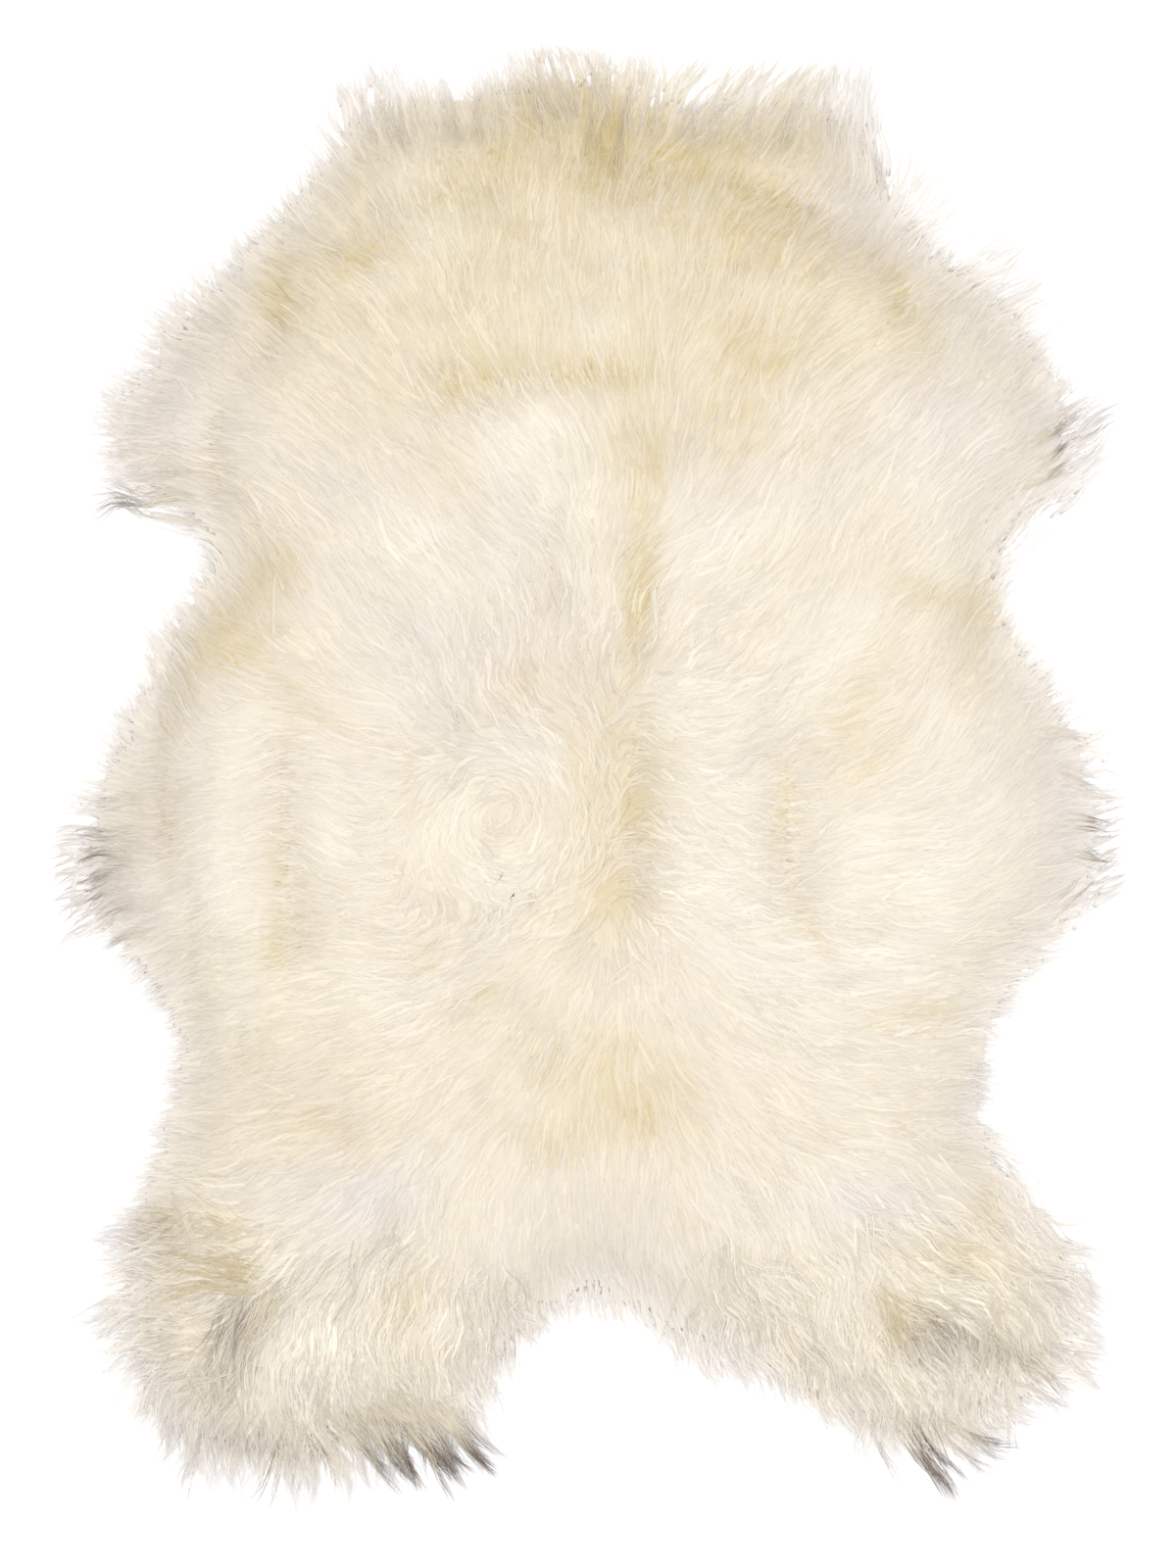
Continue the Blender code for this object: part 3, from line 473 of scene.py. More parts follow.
# Milkier wool, and painted light: highlights where the locks lie flat, and lighter wool on slopes near the rim that
# lie in shade.
PALE_AND_LIT = rows_of(
    Patch,
    (-240, -440, 120, 90, 0.75), (275, -425, 120, 90, 0.8), (-105, -495, 30, 24, 0.6), (285, -510, 90, 26, 0.6),
    (-130, 540, 60, 16, 0.4), (110, 535, 50, 14, 0.3), (300, 175, 30, 24, 0.5), (-73, -425, 40, 26, 0.5, 60),
    (-270, -385, 60, 12, 0.4), (-17, 232, 20, 42, 0.5), (280, 250, 50, 26, 0.4), (-281, 287, 40, 30, 0.3),
    (15, 383, 16, 22, 0.4), (343, -89, 26, 24, 0.1), (-225, -521, 30, 24, 0.5), (79, 70, 40, 30, 0.3),
    (240, -150, 100, 60, 0.45), (160, 10, 60, 90, 0.35), (-50, 285, 50, 34, 0.7, 20), (-125, 450, 34, 26, 0.55),
    (5, 455, 16, 34, 0.45), (165, 395, 20, 18, 0.5), (295, 365, 12, 22, 0.45), (235, 335, 22, 12, 0.4),
    (-130, 180, 60, 30, 0.4, 120), (100, 190, 60, 20, 0.65, 30), (215, 130, 50, 24, 0.5, 50),
    (-285, 40, 40, 26, 0.45), (-290, -70, 46, 46, 0.45, 90), (-200, -30, 50, 26, 0.45, -25),
    (-55, 25, 44, 14, 0.75, 5), (-70, -65, 36, 16, 0.65, 20), (-110, -20, 30, 16, 0.5, 90), (70, -30, 24, 60, 0.55),
    (110, -75, 40, 22, 0.6, -20), (215, -30, 50, 26, 0.45, 10), (275, -75, 50, 40, 0.65),
    (295, 60, 20, 30, 0.55, 20), (-280, -165, 40, 24, 0.6, 90), (-180, -150, 50, 24, 0.35),
    (60, 75, 22, 24, 0.6, -30), (310, -475, 12, 10, 0.8), (120, -130, 60, 24, 0.4, -15),
    (-250, -380, 60, 14, 0.4, 10),
)
# Where the wool keeps its own colour up to the rim, without the painted light and shade of its edge.
RIM_KEPT = rows_of(
    Patch,
    (70, 575, 170, 34, 0.45), (335, 165, 40, 34, 0.5), (-335, 345, 90, 34, 0.35, 60), (-375, 40, 40, 90, 0.2),
    (311, 400, 80, 34, 0.35, -45), (385, 95, 80, 30, 0.35, -47),
)
PATCH_BREAK_UP = 0.45  # how unevenly a patch's edge runs
PATCH_GRAIN = 22.0 * MM
# Strength of the painted light and shade at the edge, where the wool thins and comes down to the floor in a pale
# greyish lilac.
EDGE_LIGHT_SHADE = 0.75
DARK_HAIR = 0.34


# ---- The height field --------------------
def softened(grid, radius):
    """The grid blurred by a bell of this radius."""
    reach = math.ceil(2.5 * radius / GRID_STEP)
    weights = np.exp(-0.5 * (np.arange(-reach, reach + 1) * GRID_STEP / radius) ** 2)
    weights /= weights.sum()
    for axis in (0, 1):
        grid = sum(w * np.roll(grid, k, axis) for k, w in zip(range(-reach, reach + 1), weights, strict=True))
    return grid


def crease_at(places, crease):
    """How deep in the crease each place is, from 0 to 1."""
    line = np.array(crease.points, float) * MM
    nearest = np.full(places.shape[:-1], np.inf)
    for start, end in zip(line[:-1], line[1:], strict=True):
        run = end - start
        share = np.clip((places - start) @ run / (run @ run), 0.0, 1.0)
        nearest = np.minimum(nearest, np.linalg.norm(places - start - share[..., None] * run, axis=-1))
    return np.exp(-((nearest / (crease.half * MM)) ** 2))


class WoolField:
    """Height and cover of the wool over the floor, read off the fleece's solid by rays from above."""

    def __init__(self, node):
        low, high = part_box(node)
        self.middle = np.array([low.x + high.x, low.y + high.y]) / 2
        self.half_box = np.array([high.x - low.x, high.y - low.y]) / 2
        self.low = np.array([low.x, low.y]) - GRID_MARGIN
        shape = np.ceil((np.array([high.x, high.y]) + GRID_MARGIN - self.low) / GRID_STEP).astype(int) + 1
        tree = BVHTree.FromObject(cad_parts[node], bpy.context.evaluated_depsgraph_get())
        height = np.zeros(shape)
        hit = np.zeros(shape)
        down, start = Vector((0, 0, -1)), high.z + GRID_STEP
        for i in range(shape[0]):
            for j in range(shape[1]):
                x, y = self.low + np.array([i, j]) * GRID_STEP
                place = tree.ray_cast(Vector((x, y, start)), down)[0]
                if place is not None:
                    height[i, j], hit[i, j] = place.z, 1.0
        spread = softened(height * hit, SPREAD_BLUR) / np.maximum(softened(hit, SPREAD_BLUR), 1e-3)
        inside = softened(height * hit, HEIGHT_BLUR) / np.maximum(softened(hit, HEIGHT_BLUR), 1e-3)
        self.cover = np.minimum(softened(hit, REACH_BLUR) * COVER_GAIN, 1.0)
        share = np.clip(self.cover * INSIDE_GAIN - INSIDE_FROM, 0.0, 1.0)
        spread = np.minimum(spread, inside + spread * (hit == 0))
        self.height = inside * share + spread * (1 - share) * SPREAD_HEIGHT
        places = self.low + np.stack(np.indices(shape), axis=-1) * GRID_STEP
        self.inner = softened(hit, EDGE_BLUR)
        thin = patches_at(places, THINNED)
        self.height *= np.clip((self.inner * (1 - thin) - FALL_INNER) / FALL_RANGE, 0.0, 1.0)
        for crease in CREASES:
            self.height -= crease.depth * MM * crease_at(places, crease) * self.cover
        for size, rise in SWELLS:
            self.height += noise_over(places, size * MM, "swells") * rise * MM * self.cover
        self.dense = self.cover * (1 - thin)
        self.cover = np.minimum(self.cover + patches_at(places, GROWN), 1.0)
        self.reach = self.cover * (1 - THINNED_REACH * thin)
        self.hair_cover = self.cover * (1 - HAIR_THINNED * thin)
        self.cover *= 1 - thin

    def past_box(self, points):
        """Whether points of the plane lie too far out."""
        return (np.abs(points - self.middle) > self.half_box + PAST_BOX).any(axis=-1)

    def at_edge(self, points):
        """How near the edge of the wool each point is, from 0 well inside to 1 past the edge."""
        return np.clip((EDGE_FROM - self.read(self.inner, points)) / EDGE_OVER, 0.0, 1.0)

    def faded(self, points):
        """How far past the edge of the wool each point is, from 0 at the edge to 1."""
        return np.clip((FADE_FROM - self.read(self.reach, points)) / FADE_OVER, 0.0, 1.0)

    def inward(self, points):
        """Unit vectors of the plane away from the edge of the wool."""
        ways = (np.array([GRID_STEP, 0.0]), np.array([0.0, GRID_STEP]))
        flat = points[:, :2]
        slope = np.stack([self.read(self.inner, flat + w) - self.read(self.inner, flat - w) for w in ways], axis=-1)
        return slope / np.maximum(np.linalg.norm(slope, axis=-1, keepdims=True), 1e-6)

    def read(self, grid, points):
        """The grid's value at each point, which may have any number of leading axes."""
        place = (points[..., :2] - self.low) / GRID_STEP
        place = np.clip(place, 0, np.array(grid.shape) - 1.001)
        whole = place.astype(int)
        u, v = np.moveaxis(place - whole, -1, 0)
        i, j = np.moveaxis(whole, -1, 0)
        return (
            grid[i, j] * (1 - u) * (1 - v)
            + grid[i + 1, j] * u * (1 - v)
            + grid[i, j + 1] * (1 - u) * v
            + grid[i + 1, j + 1] * u * v
        )


def placed(name, data, surface=None):
    """A new object in the scene, with this surface."""
    made = bpy.data.objects.new(name, data)
    bpy.context.scene.collection.objects.link(made)
    if surface is not None:
        data.materials.append(surface)
    return made


def noise_over(points, size, layer):
    """Smooth noise from -1 to 1 over the plane."""
    flat = points[..., :2].reshape(-1, 2) / size
    made = np.array([noise.noise(Vector((x, y, LAYER[layer]))) for x, y in flat])
    return made.reshape(points.shape[:-1])


def patches_at(points, patches):
    """How strongly the patches colour each point, where they overlap one over the other."""
    mask = np.zeros(points.shape[:-1])
    for patch in patches:
        turn = math.radians(patch.turn)
        dx = points[..., 0] - patch.x * MM
        dy = points[..., 1] - patch.y * MM
        along = (dx * math.cos(turn) + dy * math.sin(turn)) / (patch.long * MM)
        across = (dy * math.cos(turn) - dx * math.sin(turn)) / (patch.wide * MM)
        mask = 1 - (1 - mask) * (1 - patch.amount * np.exp(-(along**2) - across**2))
    return np.clip(mask, 0.0, 1.0)


def brush_strokes():
    """The places, the headings and the reach of all strokes."""
    rows = np.array([row for strokes in BRUSHED.values() for row in strokes], float)
    places, angles = rows[:, :2] * MM, np.radians(rows[:, 2])
    apart = np.sort(np.linalg.norm(places[:, None] - places[None], axis=-1), axis=1)
    reach = np.clip(apart[:, 2] * BRUSH_REACH, BRUSH_LEAST, BRUSH_MOST)
    return places, np.stack([np.cos(angles), np.sin(angles)], axis=-1), reach


STROKES = brush_strokes()


def lie_of_wool(points):
    """Unit vectors along the wool at these points."""
    run = SPINE[1] - SPINE[0]
    share = np.clip((points - SPINE[0]) @ run / (run @ run), 0.0, 1.0)
    away = points - (SPINE[0] + share[:, None] * run)
    lie = OUTWARD * away / np.maximum(np.linalg.norm(away, axis=1, keepdims=True), MM)
    for place, heading, reach in zip(*STROKES, strict=True):
        distance = np.linalg.norm(points - place, axis=1)
        lie = lie + np.exp(-((distance / reach) ** 2))[:, None] * heading
    return lie / np.maximum(np.linalg.norm(lie, axis=1, keepdims=True), 1e-6)


def turned(vectors, angles):
    """Plane vectors turned by these angles."""
    c, s = np.cos(angles), np.sin(angles)
    x, y = vectors[..., 0], vectors[..., 1]
    return np.stack([x * c - y * s, x * s + y * c], axis=-1)


# ---- Locks and strands --------------------
def lock_roots(field, rng):
    """Where the locks grow: an even scatter over the wool."""
    low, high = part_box("fleece")
    rows = []
    for j, y in enumerate(np.arange(low.y, high.y, LOCK_SPACING * math.sqrt(3) / 2)):
        xs = np.arange(low.x + LOCK_SPACING / 2 * (j % 2), high.x, LOCK_SPACING)
        rows.append(np.stack([xs, np.full_like(xs, y)], axis=1))
    roots = np.vstack(rows)
    roots += rng.uniform(-ROOT_SCATTER, ROOT_SCATTER, roots.shape) * LOCK_SPACING
    return roots[field.read(field.cover, roots) > ROOT_COVER]


def bare_places(field, roots, lines, rng):
    """More roots, where few locks pass over the wool that has to be covered."""
    grid = np.zeros(field.cover.shape)
    place = np.rint((lines[:, 2:].reshape(-1, 2) - field.low) / GRID_STEP).astype(int)
    place = np.clip(place, 0, np.array(grid.shape) - 1)
    np.add.at(grid, (place[:, 0], place[:, 1]), 1.0)
    thin = softened(grid, BARE_BLUR) * (LOCK_SPACING / GRID_STEP) ** 2 / LOCK_STEPS
    xs, ys = np.nonzero((thin < BARE_BELOW) & (field.cover > COVERED))
    chance = rng.uniform(0.0, 1.0, len(xs)) < BARE_ROOTS * (1 - thin[xs, ys] / BARE_BELOW)
    return field.low + (np.stack([xs, ys], axis=1)[chance] + rng.uniform(-0.5, 0.5, (chance.sum(), 2))) * GRID_STEP


def areas_of(roots):
    """For each root, the number of the area it belongs to."""
    middles = np.array([[area.x, area.y] for area in AREAS]) * MM
    wobble = np.stack(
        [noise_over(roots, WANDER_SIZE, "areas_x"), noise_over(roots, WANDER_SIZE, "areas_y")], axis=-1
    ) * AREA_WOBBLE
    return np.linalg.norm(roots[:, None] + wobble[:, None] - middles, axis=-1).argmin(axis=1)


def lock_lines(roots, area, rng, loose=0.0, shorter=1.0):
    """The line that each lock follows over the plane, (locks, steps + 1, 2), and its heading at each point."""
    length = area.length * MM * rng.uniform(*LOCK_LENGTHS, len(roots)) * shorter
    own = rng.normal(0.0, math.radians(OWN_TURN + loose), len(roots))
    curl = math.radians(area.curl) * rng.normal(0.0, 1.0, len(roots))
    points, headings, at = [roots], [], roots
    for step in range(LOCK_STEPS + 1):
        share = step / LOCK_STEPS
        wander = WANDER * noise_over(at, WANDER_SIZE, "wander")
        heading = turned(lie_of_wool(at), wander + own + curl * (share - STRAIGHT_AT))
        headings.append(heading)
        at = at + heading * (length / LOCK_STEPS)[:, None]
        points.append(at)
    return np.stack(points[:-1], axis=1), np.stack(headings, axis=1), length


def picked(lines, shares):
    """Points of each line at these shares of its length: lines (n, m, d), shares (n, k)."""
    place = np.clip(shares, 0, 0.9999) * (lines.shape[1] - 1)
    whole = place.astype(int)
    part = (place - whole)[..., None]
    rows = np.arange(len(lines))[:, None]
    return lines[rows, whole] * (1 - part) + lines[rows, whole + 1] * part


def ranked(low, high, rank):
    """Values from low to high, at each strand's rank in its lock."""
    return low + (high - low) * rank


def laid(field, centre, lift, rise, rank):
    """Centre lines over the wool: each comes up from below its surface and then lies its own lift above it."""
    level = -ROOT_DEPTH * (1 - rise)[None] + lift[:, None] * rise[None]
    height = np.maximum(field.read(field.height, centre) + level, CLEAR_OF_FLOOR + FLOOR_STACK * rank[:, None])
    return np.concatenate([centre, height[..., None]], axis=-1)


def strand_lines(field, lock_set, area, kind, rng):
    """The centre lines of an area's strands of one kind, with each strand's rank, lock and run along itself."""
    roots, lines, headings, lengths = lock_set
    near_rim = np.clip((RIM_COVER - field.read(field.cover, roots)) / (RIM_COVER - ROOT_COVER), 0.0, 1.0)
    wanted = {WISP: area.wisps, FIBRE: area.fibres}.get(kind, 0.0) + kind.at_rim * near_rim
    lock = np.repeat(np.arange(len(roots)), np.floor(wanted + rng.uniform(0.0, 1.0, len(roots))).astype(int))
    count = len(lock)
    rank = rng.uniform(0.0, 1.0, count)
    steps = np.linspace(0.0, 1.0, kind.steps + 1)
    # where a strand passes the edge of the wool it ends there
    cut = ranked(kind.cut_low, kind.cut_high, rng.beta(*END_SPREAD, count))
    cut = np.minimum(cut * (1 + TUFTED_RIM * noise_over(roots, RIM_TUFT_SIZE, "rim")[lock]), CUT_MOST)
    probe = np.linspace(0.0, 1.0, TRACK_POINTS)
    offset = rng.normal(0.0, kind.spread * (SPREAD_FREE - area.gather), (count, 2)) * LOCK_SPACING
    share = rng.uniform(*STRAND_LENGTHS, count)
    track = picked(lines[lock], probe[None] * share[:, None]) + offset[:, None] * TRACK_OFFSET
    cover = field.cover if kind is WISP else field.hair_cover
    outside = (field.read(cover, track) < cut[:, None]) | field.past_box(track)
    first = np.where(outside.any(axis=1), outside.argmax(axis=1), len(probe) - 1)
    share = share * probe[first]
    kept = share > kind.shortest
    lock, rank, offset, share = lock[kept], rank[kept], offset[kept], share[kept]
    count = len(lock)

    shares = share[:, None] * steps[None]
    centre = picked(lines[lock], shares)
    heading = picked(headings[lock], shares)
    heading /= np.linalg.norm(heading, axis=-1, keepdims=True)
    begin = headings[lock][:, 0]
    turn = np.arctan2(
        begin[:, None, 0] * heading[..., 1] - begin[:, None, 1] * heading[..., 0],
        (begin[:, None] * heading).sum(-1),
    )
    closing = 1 - area.gather * kind.gather * (shares / np.maximum(share[:, None], 1e-6)) ** CLOSING_POWER
    centre = centre + turned(offset[:, None], turn) * closing[..., None]
    side = np.stack([-heading[..., 1], heading[..., 0]], axis=-1)
    run = shares * lengths[lock][:, None]
    astray = (rng.uniform(0.0, 1.0, count) < kind.stray) * rng.normal(0.0, STRAY_TURN, count)
    centre = centre + side * (run * astray[:, None])[..., None]
    # the waves of neighbouring locks line up
    phase = 2 * math.pi * (roots * headings[:, 0]).sum(axis=1) / (area.wave_length * MM)
    phase = (phase + WAVE_SHIFT * noise_over(roots, WANDER_SIZE, "waves"))[lock] + rng.normal(0.0, WAVE_SPREAD, count)
    swing = area.wave * MM * (rng.uniform(*SWINGS, len(roots))[lock] + rng.normal(0.0, SWING_SPREAD, count))
    wave = np.sin(2 * math.pi * run / (area.wave_length * MM) + phase[:, None])
    wave = (wave - wave[:, :1]) * swing[:, None] * np.minimum(1.0, SWING_GROWTH * steps)[None]
    centre = centre + side * wave[..., None]

    lift = ranked(kind.lift_low, kind.lift_high, rank) * MM + rng.normal(0.0, LIFT_SPREAD, count)
    lock_lift = noise_over(roots, LIFT_SIZE, "lift")[lock] * LOCK_LIFT
    rise = np.clip(steps / kind.rise, 0.0, 1.0)
    rise = rise * rise * (3 - 2 * rise)
    lines = laid(field, centre, (lift + lock_lift) * area.loft, rise, rank)
    inside = ~field.past_box(centre).any(axis=1)
    return lines[inside], rank[inside], lock[inside], run[inside], steps


def strand_rings(lines, half, depth, steps):
    """The points round each strand, (strands, rings, sides, 3), its tip, and how far each point lies across it."""
    tangent = np.gradient(lines, axis=1)
    tangent /= np.linalg.norm(tangent, axis=-1, keepdims=True)
    side = np.stack([tangent[..., 1], -tangent[..., 0], np.zeros(tangent.shape[:-1])], axis=-1)
    side /= np.maximum(np.linalg.norm(side, axis=-1, keepdims=True), 1e-9)
    over = np.cross(side, tangent)
    swell = ROOT_WIDTH + (1 - ROOT_WIDTH) * np.sin(math.pi * np.minimum(steps / SWELL_OVER, 1.0))
    taper = swell * (1 - steps**TIP_POWER) + TIP_WIDTH
    width = half[:, None] * taper[None]
    rings, across = [], []
    for angle in np.radians(STRAND_CORNERS):
        reach = side * math.cos(angle) + over * (math.sin(angle) * depth)
        rings.append(lines + reach * width[..., None])
        across.append(width * math.cos(angle))
    rings = np.stack(rings, axis=2)[:, :-1]
    rings[..., 2] = np.maximum(rings[..., 2], LOWEST_POINT)
    return rings, lines[:, -1], np.stack(across, axis=2)[:, :-1]


def strand_pattern(rings):
    """One strand's faces as corner numbers and their places in its cell of the map, for this many rings."""
    corners, places, starts = [], [], []

    def add(face, place):
        starts.append(len(corners))
        corners.extend(face)
        places.extend(place)

    add((0, 1, 2), ((0.1, 0.0), (0.9, 0.0), (0.5, ROOT_STRIP * 0.8)))
    tip = rings * STRAND_SIDES
    for k in range(rings):
        low, high = (ROOT_STRIP + (1 - ROOT_STRIP) * share for share in (k / rings, (k + 1) / rings))
        for j in range(STRAND_SIDES):
            a, b = k * STRAND_SIDES + j, k * STRAND_SIDES + (j + 1) % STRAND_SIDES
            left, right = j / STRAND_SIDES, (j + 1) / STRAND_SIDES
            if k < rings - 1:
                add(
                    (a, a + STRAND_SIDES, b + STRAND_SIDES, b),
                    ((left, low), (left, high), (right, high), (right, low)),
                )
            else:
                add((a, tip, b), ((left, low), ((left + right) / 2, high), (right, low)))
    return np.array(corners), np.array(places), np.array(starts)


def on_points(value):
    """A value at each point of the strands' lines, spread to the corners of their rings."""
    rings = np.repeat(value[:, :-1], STRAND_SIDES, axis=1)
    return np.concatenate([rings, value[:, -1:]], axis=1)


def with_rings(kind, lines, half, run, values, shifts=(0.0, 0.0)):
    """Strands round these lines: their points, their face pattern and their values at each point."""
    steps = np.linspace(0.0, 1.0, kind.steps + 1)
    rings, tips, across = strand_rings(lines, half, kind.depth, steps)
    flat = (len(lines), kind.steps * STRAND_SIDES)
    points = np.concatenate([rings.reshape(*flat, 3), tips[:, None]], axis=1)
    values = {key: on_points(value) for key, value in values.items()}
    across = np.concatenate([across.reshape(flat), np.zeros((len(lines), 1))], axis=1) + shifts[0]
    values["fibre"] = np.stack([across, on_points(run) + shifts[1], np.zeros_like(across)], axis=-1)
    return points, strand_pattern(kind.steps), values


def colour_values(field, lines, steps, own, kind, rng):
    """The masks of the wool's colour at each point of the strands' lines."""
    along = np.broadcast_to(steps[None], lines.shape[:2])
    uneven = 1 + PATCH_BREAK_UP * noise_over(lines, PATCH_GRAIN, "patches")
    spots = lines[..., :2] + rng.normal(0.0, SPOT_SCATTER, (len(lines), 1, 2))
    hair = patches_at(spots, DARK_HAIRS)
    if kind is not WISP:
        hair = hair * rng.uniform(*HAIR_DARKNESS, (len(lines), 1))
    tips = patches_at(spots, DARK_TIPS) * np.clip((along - DARK_TIP_FROM) / DARK_TIP_OVER, 0.0, 1.0)
    # the masks carry painted light and shade as well as the wool's own colours: at the edge, at the points past it,
    # and in part in the pale, yellow and grey patches
    return {
        "along": along,
        "tone": np.broadcast_to(own[:, None], along.shape),
        "yellow": patches_at(spots, YELLOWED_AND_CREASE_SHADE) * uneven * rng.uniform(*YELLOW_SPREAD, (len(lines), 1)),
        "grey": patches_at(spots, GREYED_AND_SHADED) * uneven,
        "edge": EDGE_LIGHT_SHADE * field.at_edge(lines) * (1 - patches_at(spots, RIM_KEPT)),
        "fade": field.faded(lines),
        "dark": np.maximum(tips, DARK_HAIR * hair),
        "pale": patches_at(spots, PALE_AND_LIT) * uneven,
    }


def strands_of_kind(field, lock_set, area, kind, rng):
    """An area's strands of one kind: their points, their face pattern and their values at each point."""
    lines, rank, lock, run, steps = strand_lines(field, lock_set, area, kind, rng)
    half = ranked(kind.half_low, kind.half_high, rank) * MM * rng.uniform(*STRAND_WIDTHS, len(rank))
    lock_tone = sum(weight * noise_over(lock_set[0], size, "tone") for weight, size in TONE_SIZES)
    lock_tone = lock_tone * (TONE_LEAST + TONE_BY_LOFT * area.loft)
    spread = TONE_SPREAD + TONE_LOFT_SPREAD * max(area.loft - SMOOTH_LOFT, 0.0)
    # painted light: strands that lie higher in their lock are a little lighter
    own = kind.tone + lock_tone[lock] + rng.normal(0.0, spread, len(rank)) + LIGHT_OF_RANK * (rank - 0.5)
    values = colour_values(field, lines, steps, np.clip(own, *TONE_RANGE), kind, rng)
    shifts = rng.uniform(0.0, 1.0, (2, len(lines), 1))
    return with_rings(kind, lines, half, run, values, shifts)


def joined_strands(name, kinds, surface):
    """All strands of an area as one mesh, with its values as attributes and a map with a cell for each strand."""
    total = sum(len(points) for points, pattern, values in kinds)
    across = math.ceil(math.sqrt(total))
    first_point = first_corner = first_strand = 0
    parts = {"co": [], "index": [], "start": [], "uv": []}
    for points, (corners, places, starts), values in kinds:
        number = np.arange(len(points))[:, None]
        parts["co"].append(points.reshape(-1, 3))
        parts["index"].append((first_point + number * points.shape[1] + corners).ravel())
        parts["start"].append((first_corner + number * len(corners) + starts).ravel())
        # each strand has a cell of its own in the map, at its place in a square grid
        cell = np.stack([(first_strand + number) % across, (first_strand + number) // across], axis=-1)
        parts["uv"].append(((cell + CELL_MARGIN + (1 - 2 * CELL_MARGIN) * places[None]) / across).reshape(-1, 2))
        first_point += points.shape[0] * points.shape[1]
        first_corner += len(points) * len(corners)
        first_strand += len(points)
    parts = {key: np.concatenate(rows) for key, rows in parts.items()}
    mesh = bpy.data.meshes.new(name)
    mesh.vertices.add(len(parts["co"]))
    mesh.vertices.foreach_set("co", parts["co"].astype(np.float32).ravel())
    mesh.loops.add(len(parts["index"]))
    mesh.loops.foreach_set("vertex_index", parts["index"].astype(np.int32))
    mesh.polygons.add(len(parts["start"]))
    mesh.polygons.foreach_set("loop_start", parts["start"].astype(np.int32))
    mesh.update(calc_edges=True)
    mesh.shade_smooth()
    mesh.set_sharp_from_angle(angle=math.radians(EDGE_ANGLE))
    layer = mesh.uv_layers.new(name="OFBake")
    layer.uv.foreach_set("vector", parts["uv"].astype(np.float32).ravel())
    for key in kinds[0][2]:
        whole = [values[key] for points, pattern, values in kinds]
        vector = whole[0].ndim == 3
        attribute = mesh.attributes.new(key, "FLOAT_VECTOR" if vector else "FLOAT", "POINT")
        flat = np.concatenate([v.reshape(-1) for v in whole]).astype(np.float32)
        attribute.data.foreach_set("vector" if vector else "value", flat)
    return placed(name, mesh, surface)


def wool_of(field, area, roots, surface, rng):
    """One area's wool as a piece."""
    lines, headings, lengths = lock_lines(roots, area, rng)
    extra = bare_places(field, roots, lines, rng)
    extra = extra[areas_of(extra) == AREAS.index(area)]
    more = lock_lines(extra, area, rng, loose=BARE_LOOSE, shorter=BARE_LENGTH)
    sets = zip((roots, lines, headings, lengths), (extra, *more), strict=True)
    lock_set = [np.concatenate(pair) for pair in sets]
    kinds = [strands_of_kind(field, lock_set, area, kind, rng) for kind in KINDS]
    return joined_strands("wool_" + area.name, kinds, surface)


